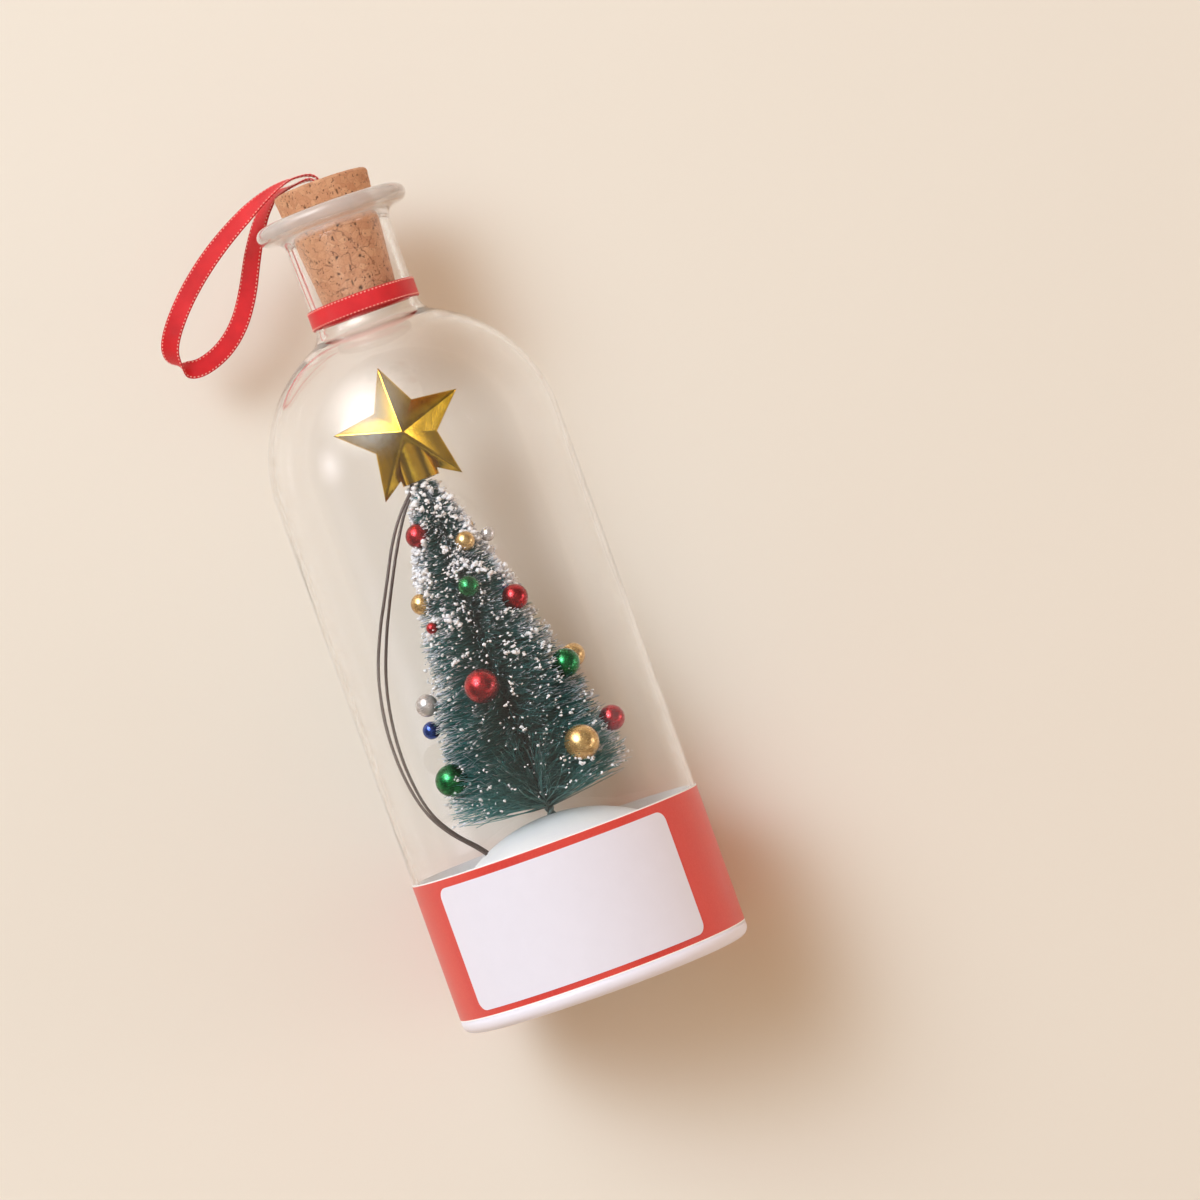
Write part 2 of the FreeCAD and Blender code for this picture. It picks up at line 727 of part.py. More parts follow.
def speaker_cone():
    rim = speaker_radius - speaker_flange - speaker_steel / 2
    floor_level = speaker_depth - 2 * speaker_steel
    hub = speaker_magnet_radius - 2 * speaker_steel
    return at_speaker(revolve(polyline(
        (0, floor_level - speaker_steel / 2), (hub, floor_level - speaker_steel / 2), (rim, 0),
        (rim, speaker_steel / 4), (hub, floor_level), (0, floor_level),
        (0, floor_level - speaker_steel / 2))))


def speaker_magnet():
    return at_speaker(rod(speaker_magnet_radius, speaker_depth, speaker_depth + speaker_magnet_height))


# Batteries
def button_cell(index):
    start = bay_x - cell_count * cell_thickness / 2 + index * cell_thickness
    axis_level = rim_height + cell_gap + cell_radius
    middle = Vector(start, bay_y, axis_level)
    return Part.makeCylinder(cell_radius, cell_thickness, middle, Vector(1, 0, 0))


def contact_plate():
    x = bay_x + bay_length / 2 - contact_thickness / 2
    return block(contact_thickness, contact_width, rim_height + cell_gap, rim_height + bay_height, x, bay_y)


def contact_spring():
    """A strip against the bay's end wall, bowed towards the first cell."""
    x = bay_x - bay_length / 2
    bottom = rim_height + cell_gap
    top = rim_height + bay_height
    middle = (bottom + top) / 2
    quarter = (top - bottom) / 4
    outline = polyline(
        (x, bottom), (x, top), (x + contact_thickness, top),
        (x + contact_thickness, middle + quarter), (x + contact_thickness + contact_bow, middle),
        (x + contact_thickness, middle - quarter), (x + contact_thickness, bottom), (x, bottom))
    strip = Part.Face(Part.Wire(outline)).extrude(Vector(0, contact_width, 0))
    strip.translate(Vector(0, bay_y - contact_width / 2, 0))
    return strip


def battery_door():
    bottom = rim_height - door_thickness
    door = door_outline(0, bottom, rim_height)
    return door.cut(rod(screw_radius + screw_clear_gap, bottom, rim_height, bay_x, door_tab_y))


# Screws
def screw(seat, x, y, up=1):
    """A screw whose head lies under its seat, or over it where up is -1."""
    head = Part.makeCylinder(screw_head_radius, screw_head_height, Vector(x, y, seat), Vector(0, 0, -up))
    shank = Part.makeCylinder(screw_radius, screw_length, Vector(x, y, seat), Vector(0, 0, up))
    return head.fuse(shank).removeSplitter()


def screw_group(seat, places, up=1):
    return Part.makeCompound([screw(seat, p.x, p.y, up) for p in places])


os.makedirs("parts", exist_ok=True)

save("bottle_shell", bottle_shell())
save("cork_stopper", cork_stopper())
save("hanging_ribbon", hanging_ribbon())
save("neck_ribbon", neck_ribbon())
save("label_band", label_band())
save("label_panel", label_panel())
save("base_housing", base_housing())
save("snow_dome", snow_dome())
save("tree_stem", tree_stem_solid(stem_radius))
save("tree_bristles", tree_bristles())
for number, (colour, across, level, radius, side) in enumerate(baubles, 1):
    save("bauble_%02d_%s" % (number, colour), lean(bauble_solid(across, level, radius, side)))
star = star_front()
save("star_front", lean(star))
save("star_back", lean(star_back(star)))
save("star_lamp", star_lamp())
for name, points in wire_points.items():
    save(name, lamp_wire(name, points))
save("circuit_board", circuit_board())
save("sound_chip", sound_chip())
save("microphone", microphone())
for name, x, y, radius, proud in (
        ("play", play_x, play_y, play_radius, play_proud),
        ("record", record_x, record_y, record_radius, record_proud)):
    save(name + "_switch", push_switch(x, y))
    save(name + "_plunger", switch_plunger(x, y))
    save(name + "_button", push_button(x, y, radius, proud))
save("speaker_frame", speaker_frame())
save("speaker_cone", speaker_cone())
save("speaker_magnet", speaker_magnet())
for index in range(cell_count):
    save("button_cell_%d" % (index + 1), button_cell(index))
save("contact_plate", contact_plate())
save("contact_spring", contact_spring())
save("battery_door", battery_door())
save("battery_door_screw", screw(rim_height - door_thickness, bay_x, door_tab_y))
save("housing_screws", screw_group(foot_recess, boss_places))
save("board_screws", screw_group(board_level + board_thickness, post_places, -1))
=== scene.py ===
import json
import math
from contextlib import contextmanager
import bmesh
import bpy
from mathutils import Matrix, Vector, noise

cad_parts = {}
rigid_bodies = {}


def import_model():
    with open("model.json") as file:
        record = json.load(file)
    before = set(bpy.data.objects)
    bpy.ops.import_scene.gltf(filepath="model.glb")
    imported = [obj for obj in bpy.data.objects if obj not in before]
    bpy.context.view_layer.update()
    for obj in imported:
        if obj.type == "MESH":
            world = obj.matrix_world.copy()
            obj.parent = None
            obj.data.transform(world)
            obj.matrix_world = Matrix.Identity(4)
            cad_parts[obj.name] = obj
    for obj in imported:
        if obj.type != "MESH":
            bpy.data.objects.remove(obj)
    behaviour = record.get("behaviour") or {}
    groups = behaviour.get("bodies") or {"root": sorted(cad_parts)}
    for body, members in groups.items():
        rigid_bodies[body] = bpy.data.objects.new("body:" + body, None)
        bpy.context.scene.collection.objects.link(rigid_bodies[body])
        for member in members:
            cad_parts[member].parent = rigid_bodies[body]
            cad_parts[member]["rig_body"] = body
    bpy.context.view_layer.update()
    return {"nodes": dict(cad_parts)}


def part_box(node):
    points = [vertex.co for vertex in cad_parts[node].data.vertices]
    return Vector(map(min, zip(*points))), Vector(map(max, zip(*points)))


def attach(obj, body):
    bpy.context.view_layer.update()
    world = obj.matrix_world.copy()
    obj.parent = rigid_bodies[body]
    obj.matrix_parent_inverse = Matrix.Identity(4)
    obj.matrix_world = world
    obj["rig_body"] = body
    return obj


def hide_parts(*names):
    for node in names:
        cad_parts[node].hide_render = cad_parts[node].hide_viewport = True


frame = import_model()
nodes = frame["nodes"]
MM = 0.001


def linear(red, green, blue):
    """An sRGB colour from 0 to 255 as a linear RGBA colour."""
    channels = []
    for value in (red, green, blue):
        value /= 255
        channels.append(value / 12.92 if value <= 0.04045 else ((value + 0.055) / 1.055) ** 2.4)
    return (*channels, 1.0)


# Node trees, for materials and for geometry

def plug(socket, value):
    if isinstance(value, bpy.types.NodeSocket):
        socket.id_data.links.new(value, socket)
    else:
        socket.default_value = value


def add(tree, kind, inputs=None, **settings):
    """A new node. Inputs are given by name or number, as constants or as other nodes' sockets."""
    node = tree.nodes.new(kind)
    for key, value in settings.items():
        setattr(node, key, value)
    for key, value in (inputs or {}).items():
        plug(node.inputs[key], value)
    return node


def fed(kind, inputs, **settings):
    """A new node in the tree of the nodes that feed it."""
    tree = next(value.id_data for value in inputs.values() if isinstance(value, bpy.types.NodeSocket))
    return add(tree, kind, inputs, **settings)


def output(kind, inputs, **settings):
    """The first output of a new node that other nodes feed."""
    return fed(kind, inputs, **settings).outputs[0]


def calc(operation, a, b=0.0):
    return output("ShaderNodeMath", {0: a, 1: b}, operation=operation)


def times(a, b):
    return calc("MULTIPLY", a, b)


def plus(a, b):
    return calc("ADD", a, b)


def minus(a, b):
    return calc("SUBTRACT", a, b)


def vector(operation, a, b):
    return output("ShaderNodeVectorMath", {0: a, 1: b}, operation=operation)


def parts_of(place):
    """The X, Y and Z of a position."""
    return fed("ShaderNodeSeparateXYZ", {0: place}).outputs


def stretch(value, low, high, to_low=0.0, to_high=1.0):
    """The value, mapped from one range to another and held inside it."""
    return output("ShaderNodeMapRange", {0: value, 1: low, 2: high, 3: to_low, 4: to_high})


def mix(factor, a, b):
    return fed("ShaderNodeMix", {0: factor, 6: a, 7: b}, data_type="RGBA").outputs[2]


def speckle(place, scale, detail=4.0, roughness=0.55, squeeze=None):
    """Noise from 0 to 1 over the object. Squeeze stretches it along some axes."""
    if squeeze:
        place = vector("MULTIPLY", place, squeeze)
    return output("ShaderNodeTexNoise", {
        "Vector": place, "Scale": scale, "Detail": detail, "Roughness": roughness})


def drift(place, scale, detail):
    """A different vector at each place, from noise."""
    return fed("ShaderNodeTexNoise", {"Vector": place, "Scale": scale, "Detail": detail}).outputs["Color"]


def attribute(tree, name):
    return add(tree, "ShaderNodeAttribute", attribute_name=name).outputs["Fac"]


def bump(height, distance):
    """The normal of a surface with that height, with distance in metres."""
    return output("ShaderNodeBump", {"Height": height, "Distance": distance})


def new_material(name):
    """A material and its Object coordinates."""
    material = bpy.data.materials.new(name)
    material.use_nodes = True
    return material, add(material.node_tree, "ShaderNodeTexCoord").outputs["Object"]


def finished(material, **inputs):
    """The material, with some inputs of its Principled shader set."""
    shader = material.node_tree.nodes["Principled BSDF"]
    for name, value in inputs.items():
        plug(shader.inputs[name.replace("_", " ")], value)
    return material


def end_in(tree, end, factor, first, second):
    """Ends the tree in a mix of the shader of its node called first and a second shader."""
    both = output("ShaderNodeMixShader", {0: factor, 1: tree.nodes[first].outputs[0], 2: second})
    plug(tree.nodes[end].inputs["Surface"], both)


# Materials

def simple(name, colour, roughness, metallic, vary, grain=900.0, dent=0.00001, **inputs):
    """A plastic, paper or metal whose colour, gloss and surface vary a little over the piece."""
    material, place = new_material(name)
    cloud = speckle(place, grain / 6, 3.0)
    fine = speckle(place, grain, 2.0)
    dark = tuple(c * (1 - vary) for c in colour[:3]) + (1.0,)
    light = tuple(min(1.0, c * (1 + vary)) for c in colour[:3]) + (1.0,)
    return finished(
        material,
        Base_Color=mix(cloud, dark, light),
        Roughness=stretch(fine, 0.3, 0.7, roughness * 0.85, roughness * 1.15),
        Metallic=metallic,
        Normal=bump(fine, dent),
        **inputs)


def clear_plastic():
    """Clear blown plastic, with a painted grey-white haze at the lip for what the lip reflects and refracts.
    Lamp light and light from matt surfaces go straight through.
    """
    material, place = new_material("clear_plastic")
    tree = material.node_tree
    wave = speckle(place, 55.0, 2.0, squeeze=(1.0, 1.0, 0.35))
    fine = speckle(place, 700.0, 2.0)
    # Painted reflection: at the lip the plastic turns a greyer, rougher and less clear white, in place of
    # the surroundings that the thick lip reflects and refracts.
    lip = stretch(parts_of(place)[2], 0.1762, 0.1790)
    painted_lip_haze = times(lip, stretch(wave, 0.3, 0.7, 0.3, 0.42))
    colour = mix(wave, linear(253, 253, 254), linear(255, 255, 255))
    finished(
        material,
        Base_Color=mix(times(lip, 0.8), colour, linear(214, 207, 204)),
        Roughness=plus(stretch(fine, 0.35, 0.7, 0.012, 0.04), times(lip, 0.14)),
        IOR=1.28,
        Transmission_Weight=minus(1.0, painted_lip_haze),
        Coat_Weight=attribute(tree, "outside"),
        Coat_IOR=1.5,
        Coat_Roughness=0.03,
        Normal=bump(wave, 0.00016))
    path = add(tree, "ShaderNodeLightPath").outputs
    through = calc("MAXIMUM", path["Is Shadow Ray"], path["Is Diffuse Ray"])
    clear = add(tree, "ShaderNodeBsdfTransparent", {"Color": linear(255, 255, 255)}).outputs[0]
    end_in(tree, "Material Output", through, "Principled BSDF", clear)
    return material


def cork_material():
    """Pressed granules: each has its own tan, with dark seams, and the piece's pits are dark brown."""
    material, place = new_material("cork")

    def pushed(scale, detail, reach):
        return vector("ADD", place, vector("MULTIPLY", drift(place, scale, detail), (reach, reach, reach)))

    def edges(where, scale):
        return output("ShaderNodeTexVoronoi", {"Vector": where, "Scale": scale}, feature="DISTANCE_TO_EDGE")

    crumbs = pushed(900.0, 3.0, 0.0006)
    bare = stretch(parts_of(place)[2], 0.1805, 0.1815)
    cells = fed("ShaderNodeTexVoronoi", {"Vector": crumbs, "Scale": 620.0}).outputs["Color"]
    seams = edges(crumbs, 620.0)
    tone = output("ShaderNodeSeparateColor", {0: cells})
    grain = speckle(place, 2600.0, 4.0, 0.7)
    granules = edges(pushed(260.0, 4.0, 0.005), 230.0)
    broken = stretch(speckle(place, 420.0, 3.0), 0.44, 0.56)
    broken = times(broken, stretch(bare, 0.0, 1.0, 1.0, 0.25))
    crack = times(stretch(granules, 0.0, 0.045, 1.0, 0.0), broken)
    specks = speckle(place, 1500.0, 2.0, 0.5, (1.0, 1.0, 0.8))
    specks = stretch(plus(specks, times(bare, 0.012)), 0.652, 0.69)
    colour = mix(tone, linear(200, 142, 105), linear(218, 166, 128))
    colour = mix(stretch(grain, 0.35, 0.75, 0.0, 0.4), colour, linear(178, 120, 86))
    colour = mix(stretch(seams, 0.0, 0.06, 0.22, 0.0), colour, linear(150, 96, 66))
    colour = mix(times(specks, 0.85), colour, linear(92, 54, 38))
    colour = mix(times(crack, 0.75), colour, linear(118, 70, 46))
    colour = mix(attribute(material.node_tree, "pit"), colour, linear(52, 30, 20))
    height = plus(stretch(seams, 0.0, 0.12), times(grain, 0.7))
    height = minus(height, times(crack, 1.5))
    return finished(
        material,
        Base_Color=colour,
        Roughness=stretch(grain, 0.3, 0.7, 0.72, 0.9),
        Normal=bump(height, 0.00006))


def ribbon_satin():
    """Woven satin on a strip whose UV runs across its width and, in millimetres, along its length."""
    warp_threads = 46.0
    weft_threads_per_mm = 4.2
    bright = linear(238, 30, 42)
    deep = linear(206, 10, 30)
    material, place = new_material("ribbon_satin")
    tree = material.node_tree
    uv = add(tree, "ShaderNodeUVMap", uv_map="strip").outputs[0]
    across, along = parts_of(uv)[:2]
    warp = calc("SINE", times(across, warp_threads * 2 * math.pi))
    weft = calc("SINE", times(along, weft_threads_per_mm * 2 * math.pi))
    cloud = speckle(place, 160.0, 3.0)
    fibre = speckle(uv, 1.0, 3.0, 0.5, (60.0, 1.4, 1.0))
    colour = mix(stretch(cloud, 0.3, 0.7), deep, bright)
    colour = mix(stretch(fibre, 0.3, 0.75, 0.0, 0.35), colour, deep)
    colour = mix(times(stretch(weft, -1.0, 1.0), 0.22), colour, deep)
    edge = calc("ABSOLUTE", minus(across, 0.5))
    colour = mix(stretch(edge, 0.47, 0.498, 0.0, 0.4), colour, linear(120, 12, 30))
    return finished(
        material,
        Base_Color=colour,
        Roughness=stretch(fibre, 0.3, 0.7, 0.3, 0.42),
        Anisotropic=0.6,
        Tangent=add(tree, "ShaderNodeTangent", direction_type="UV_MAP", uv_map="strip").outputs[0],
        Sheen_Weight=0.14,
        Sheen_Roughness=0.4,
        Sheen_Tint=linear(255, 170, 160),
        Normal=bump(plus(times(warp, 0.4), weft), 0.000018))


def label_material():
    """Red printed paper with a fine paler grain, under a thin varnish."""
    material, place = new_material("label_red")
    grain = speckle(place, 2200.0, 3.0)
    cloud = speckle(place, 60.0, 3.0, squeeze=(1.0, 1.0, 0.3))
    colour = mix(stretch(cloud, 0.3, 0.7), linear(210, 54, 48), linear(223, 70, 60))
    colour = mix(stretch(grain, 0.35, 0.75, 0.0, 0.22), colour, linear(234, 104, 90))
    return finished(
        material,
        Base_Color=colour,
        Roughness=stretch(cloud, 0.3, 0.7, 0.36, 0.46),
        Coat_Weight=0.25,
        Coat_Roughness=0.3,
        Normal=bump(grain, 0.00001))


def snow_material(name, sparkle):
    """White flocked snow with a few bright grains, of the given roughness."""
    material, place = new_material(name)
    grain = speckle(place, 1800.0, 5.0, 0.7)
    cloud = stretch(speckle(place, 140.0, 3.0), 0.3, 0.7)
    return finished(
        material,
        Base_Color=mix(cloud, linear(244, 243, 249), linear(253, 252, 253)),
        Roughness=stretch(grain, 0.55, 0.7, 0.7, sparkle),
        Subsurface_Weight=0.15,
        Subsurface_Radius=(0.001, 0.001, 0.001),
        Subsurface_Scale=0.5,
        Normal=bump(grain, 0.00008))


def bristle_material():
    """Dark teal plastic fibres, frosted towards their tips, with painted shade that darkens them towards the
    stem and painted light that makes the lowest ones paler. Along runs from root to tip.
    """
    material, place = new_material("bristle_green")
    tree = material.node_tree
    along = attribute(tree, "along")
    frost = attribute(tree, "frost")
    tone = attribute(tree, "tone")
    fleck = speckle(place, 1500.0, 2.0)
    # Higher tone gives a paler teal. It is partly random and, for the lowest fibres, painted light.
    colour = mix(stretch(tone, 0.0, 1.0), linear(24, 82, 82), linear(64, 138, 134))
    colour = mix(stretch(tone, 0.8, 1.7), colour, linear(104, 158, 154))
    # Painted shade: near the stem each fibre darkens to near black, for the shade inside the brush; fibres
    # of high tone get less of it.
    root = stretch(along, 0.05, 0.45, 0.85, 0.0)
    root = times(root, stretch(tone, 0.8, 1.6, 1.0, 0.1))
    colour = mix(root, colour, linear(18, 20, 30))
    tip = times(stretch(along, 0.82, 0.95), frost)
    snow = times(stretch(fleck, 0.60, 0.68), times(frost, 0.6))
    white = calc("MAXIMUM", tip, times(snow, stretch(along, 0.3, 0.6)))
    return finished(
        material,
        Base_Color=mix(white, colour, linear(238, 236, 248)),
        Roughness=stretch(white, 0.0, 1.0, 0.32, 0.7),
        Normal=bump(fleck, 0.00002))


def bauble_material(name, colour, deep, metallic):
    """Pearl lacquer over a metal coat: cloudy colour, a soft sheen and a slightly uneven skin."""
    material, place = new_material(name)
    cloud = speckle(place, 420.0, 4.0, 0.6)
    skin = speckle(place, 2400.0, 3.0, 0.6)
    scratch = speckle(place, 900.0, 3.0, 0.6, (1.0, 1.0, 6.0))
    return finished(
        material,
        Base_Color=mix(stretch(cloud, 0.35, 0.68), deep, colour),
        Metallic=metallic,
        Roughness=stretch(scratch, 0.3, 0.7, 0.2, 0.3),
        Coat_Weight=0.5,
        Coat_Roughness=0.1,
        Normal=bump(skin, 0.00001))


def gold_plating():
    """Bright gold on plastic, with small dark pits and faint upright streaks."""
    material, place = new_material("star_gold")
    cloud = speckle(place, 260.0, 3.0)
    pits = speckle(place, 2100.0, 4.0, 0.65)
    streak = speckle(place, 700.0, 3.0, 0.6, (1.0, 1.0, 0.12))
    colour = mix(stretch(cloud, 0.3, 0.7), linear(204, 158, 40), linear(226, 184, 66))
    colour = mix(stretch(pits, 0.58, 0.75, 0.0, 0.6), colour, linear(120, 84, 16))
    return finished(
        material,
        Base_Color=colour,
        Metallic=1.0,
        Roughness=stretch(streak, 0.3, 0.7, 0.08, 0.17),
        Normal=bump(plus(pits, streak), 0.00003))


LOOKS = {
    "clear_plastic": clear_plastic(),
    "cork": cork_material(),
    "ribbon_satin": ribbon_satin(),
    "label_red": label_material(),
    "snow_white": snow_material("snow_white", 0.5),
    "snow_fleck": snow_material("snow_fleck", 0.45),
    "bristle_green": bristle_material(),
    "star_gold": gold_plating(),
}
for name, colour, roughness, metallic, vary, others in (
        ("picot_thread", (255, 186, 172), 0.5, 0.0, 0.1, {}),
        ("label_white", (231, 229, 243), 0.5, 0.0, 0.02, {"grain": 1500.0}),
        ("paper_back", (252, 249, 250), 0.6, 0.0, 0.02, {"grain": 1500.0}),
        ("white_plastic", (240, 238, 252), 0.35, 0.0, 0.02, {"dent": 0.000001}),
        ("stem_wire", (128, 150, 150), 0.35, 0.85, 0.25, {}),
        ("lamp_clear", (240, 232, 205), 0.1, 0.0, 0.05, {"Transmission_Weight": 0.7}),
        ("wire_brown", (94, 79, 73), 0.42, 0.0, 0.3, {"grain": 1500.0, "dent": 0.00003}),
        ("board_green", (26, 96, 58), 0.4, 0.0, 0.12, {}),
        ("chip_black", (22, 22, 24), 0.3, 0.0, 0.3, {}),
        ("button_white", (228, 228, 230), 0.35, 0.0, 0.04, {}),
        ("button_red", (190, 34, 34), 0.35, 0.0, 0.06, {}),
        ("speaker_paper", (42, 40, 40), 0.85, 0.0, 0.2, {"dent": 0.00005}),
        ("magnet_grey", (70, 70, 74), 0.5, 0.6, 0.12, {}),
        ("steel", (176, 176, 180), 0.3, 1.0, 0.08, {})):
    LOOKS[name] = simple(name, linear(*colour), roughness, metallic, vary, **others)
for name, bright, deep, metallic in (
        ("bauble_red", (196, 18, 30), (140, 6, 16), 0.85),
        ("bauble_gold", (226, 188, 124), (204, 160, 98), 0.75),
        ("bauble_green", (10, 138, 66), (0, 84, 40), 0.85),
        ("bauble_blue", (52, 84, 170), (22, 42, 112), 0.85),
        ("bauble_silver", (226, 219, 214), (200, 192, 190), 0.55)):
    LOOKS[name] = bauble_material(name, linear(*bright), linear(*deep), metallic)
for node in nodes.values():
    for held in node.material_slots:
        if held.material and held.material.name.split(".")[0] in LOOKS:
            held.material = LOOKS[held.material.name.split(".")[0]]


# Shapes

MERGE = 0.002 * MM


def in_scene(name, data):
    piece = bpy.data.objects.new(name, data)
    bpy.context.scene.collection.objects.link(piece)
    return piece


def new_object(name, mesh, slot, body, *replaced):
    """A piece of the object, in place at the origin, that rides on a body and stands for CAD nodes."""
    piece = in_scene(name, mesh)
    if not mesh.materials:
        mesh.materials.append(LOOKS[slot])
    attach(piece, body)
    if replaced:
        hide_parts(*replaced)
    return piece


@contextmanager
def edited(mesh):
    """The mesh as a bmesh to work on, which is then written back."""
    shape = bmesh.new()
    shape.from_mesh(mesh)
    yield shape
    shape.to_mesh(mesh)
    shape.free()


def merged_copy(name):
    """A copy of a CAD node's mesh, with its loose triangles joined."""
    mesh = nodes[name].data.copy()
    with edited(mesh) as shape:
        bmesh.ops.remove_doubles(shape, verts=shape.verts, dist=MERGE)
    return mesh


def shade(mesh, smooth=True):
    for face in mesh.polygons:
        face.use_smooth = smooth


def mesh_of(name, points, faces, smooth=True):
    """A mesh whose faces are turned outwards."""
    mesh = bpy.data.meshes.new(name)
    mesh.from_pydata([tuple(p) for p in points], [], faces)
    with edited(mesh) as shape:
        bmesh.ops.recalc_face_normals(shape, faces=shape.faces)
    shade(mesh, smooth)
    return mesh


def ring_faces(rings, count, closed=False):
    """Faces between rings of points, which either close on the first ring or have a face at both ends."""
    faces = []
    for ring in range(rings if closed else rings - 1):
        after = (ring + 1) % rings
        for i in range(count):
            j = (i + 1) % count
            faces.append((ring * count + i, ring * count + j, after * count + j, after * count + i))
    if not closed:
        faces.append(tuple(range(count)))
        faces.append(tuple((rings - 1) * count + i for i in range(count)))
    return faces


def around(radius, turn, level):
    """A point at an angle about Z."""
    return Vector((radius * math.cos(turn), radius * math.sin(turn), level))


def spun(name, profile, steps):
    """A closed profile of (radius, level), in millimetres, spun about Z."""
    turns = [2 * math.pi * i / steps for i in range(steps)]
    points = [around(radius, turn, level) * MM for radius, level in profile for turn in turns]
    return mesh_of(name, points, ring_faces(len(profile), steps, True))


def arc(centre, radius, start, end, count):
    """Points on an arc about (radius, level), between two angles in degrees, without its last one."""
    turns = [math.radians(start + (end - start) * i / count) for i in range(count)]
    return [(centre[0] + radius * math.cos(turn), centre[1] + radius * math.sin(turn)) for turn in turns]


def straight(start, end, count):
    """Points on a line between two places, without its last one."""
    return [(start[0] + (end[0] - start[0]) * i / count, start[1] + (end[1] - start[1]) * i / count)
            for i in range(count)]


def plain_mesh(piece):
    """The object's evaluated mesh, with all its modifiers applied."""
    graph = bpy.context.evaluated_depsgraph_get()
    return bpy.data.meshes.new_from_object(piece.evaluated_get(graph), depsgraph=graph)


def grown(name, tree, source=None, **values):
    """The plain mesh that a geometry node tree makes, with its named inputs set first."""
    holder = in_scene(name, source or bpy.data.meshes.new(name))
    modifier = holder.modifiers.new(name, "NODES")
    modifier.node_group = tree
    for item in tree.interface.items_tree:
        if item.item_type == "SOCKET" and item.in_out == "INPUT" and item.name in values:
            modifier[item.identifier] = values[item.name]
    mesh = plain_mesh(holder)
    mesh.name = name
    bpy.data.objects.remove(holder)
    return mesh


def node_tree(name, **inputs):
    """A geometry node tree with named inputs of some kinds, and one for its material.
    Returns it with its input sockets and its output socket."""
    tree = bpy.data.node_groups.new(name, "GeometryNodeTree")
    for kind, labels in {"Geometry": ["Geometry"], "Material": ["Material"], **inputs}.items():
        for label in labels:
            tree.interface.new_socket(label, in_out="INPUT", socket_type="NodeSocket" + kind)
    tree.interface.new_socket("Geometry", in_out="OUTPUT", socket_type="NodeSocketGeometry")
    entry = tree.nodes.new("NodeGroupInput")
    exit_node = tree.nodes.new("NodeGroupOutput")
    return tree, entry.outputs, exit_node.inputs[0]


def chance(tree, low, high, seed):
    """A random number for each point."""
    return add(tree, "FunctionNodeRandomValue", {2: low, 3: high, 8: seed}, data_type="FLOAT").outputs[1]


def combined(x, y, z):
    return output("ShaderNodeCombineXYZ", {0: x, 1: y, 2: z})


def stored(points, name, value):
    return output("GeometryNodeStoreNamedAttribute", {
        "Geometry": points, "Name": name, "Value": value}, data_type="FLOAT", domain="POINT")


def facing(aim):
    """A rotation that lays X along an aim."""
    return output("FunctionNodeAlignRotationToVector", {"Vector": aim}, axis="X")


def facing_tipped(aim, axis, low, high, seed):
    """A rotation that lays X along an aim, with a random turn about one of its own axes."""
    tip = output("FunctionNodeAxisAngleToRotation", {
        "Axis": axis, "Angle": chance(aim.id_data, low, high, seed)})
    return output("FunctionNodeRotateRotation", {
        "Rotation": facing(aim), "Rotate By": tip}, rotation_space="LOCAL")


def repeated(points, shape, turn, size):
    """Realized copies of a shape on points."""
    copies = output("GeometryNodeInstanceOnPoints", {
        "Points": points, "Instance": shape, "Rotation": turn, "Scale": size})
    return output("GeometryNodeRealizeInstances", {0: copies})


def grain_shape(tree):
    """A small round shape of few faces."""
    return add(tree, "GeometryNodeMeshIcoSphere", {"Radius": 1.0, "Subdivisions": 1}).outputs[0]


def end_smooth(solid, material, out):
    """Ends a tree with a solid, shaded smooth, in its material."""
    smooth = output("GeometryNodeSetShadeSmooth", {0: solid})
    made = output("GeometryNodeSetMaterial", {"Geometry": smooth, "Material": material})
    plug(out, made)


# Bottle: the CAD's outer curves, with a wall that thickens unevenly towards the neck

BODY = 33.0
BODY_INNER = 31.8
SHOULDER = 123.2
NECK = 11.9
BORE = 10.2
NECK_FILLET = 4.0
NECK_FILLET_INNER = 5.2
LIP_FLARE = 3.0
LIP_BOTTOM = 177.7
LIP_TOP = 181.7
LIP_ROUND = 2.0
LIP_RADIUS = 15.3
MOUTH_ROUND = 2.5
RIM = 3.2
SWELL_LEVEL = 152.0
SWELL_REACH = 4.0
BOTTLE_STEPS = 192


def shoulder_join(body, fillet, neck):
    """The level of the fillet between shoulder and neck, and the angle where it leaves the shoulder."""
    rise = math.sqrt((body + fillet) ** 2 - (neck + fillet) ** 2)
    return SHOULDER + rise, math.degrees(math.atan2(rise, neck + fillet))


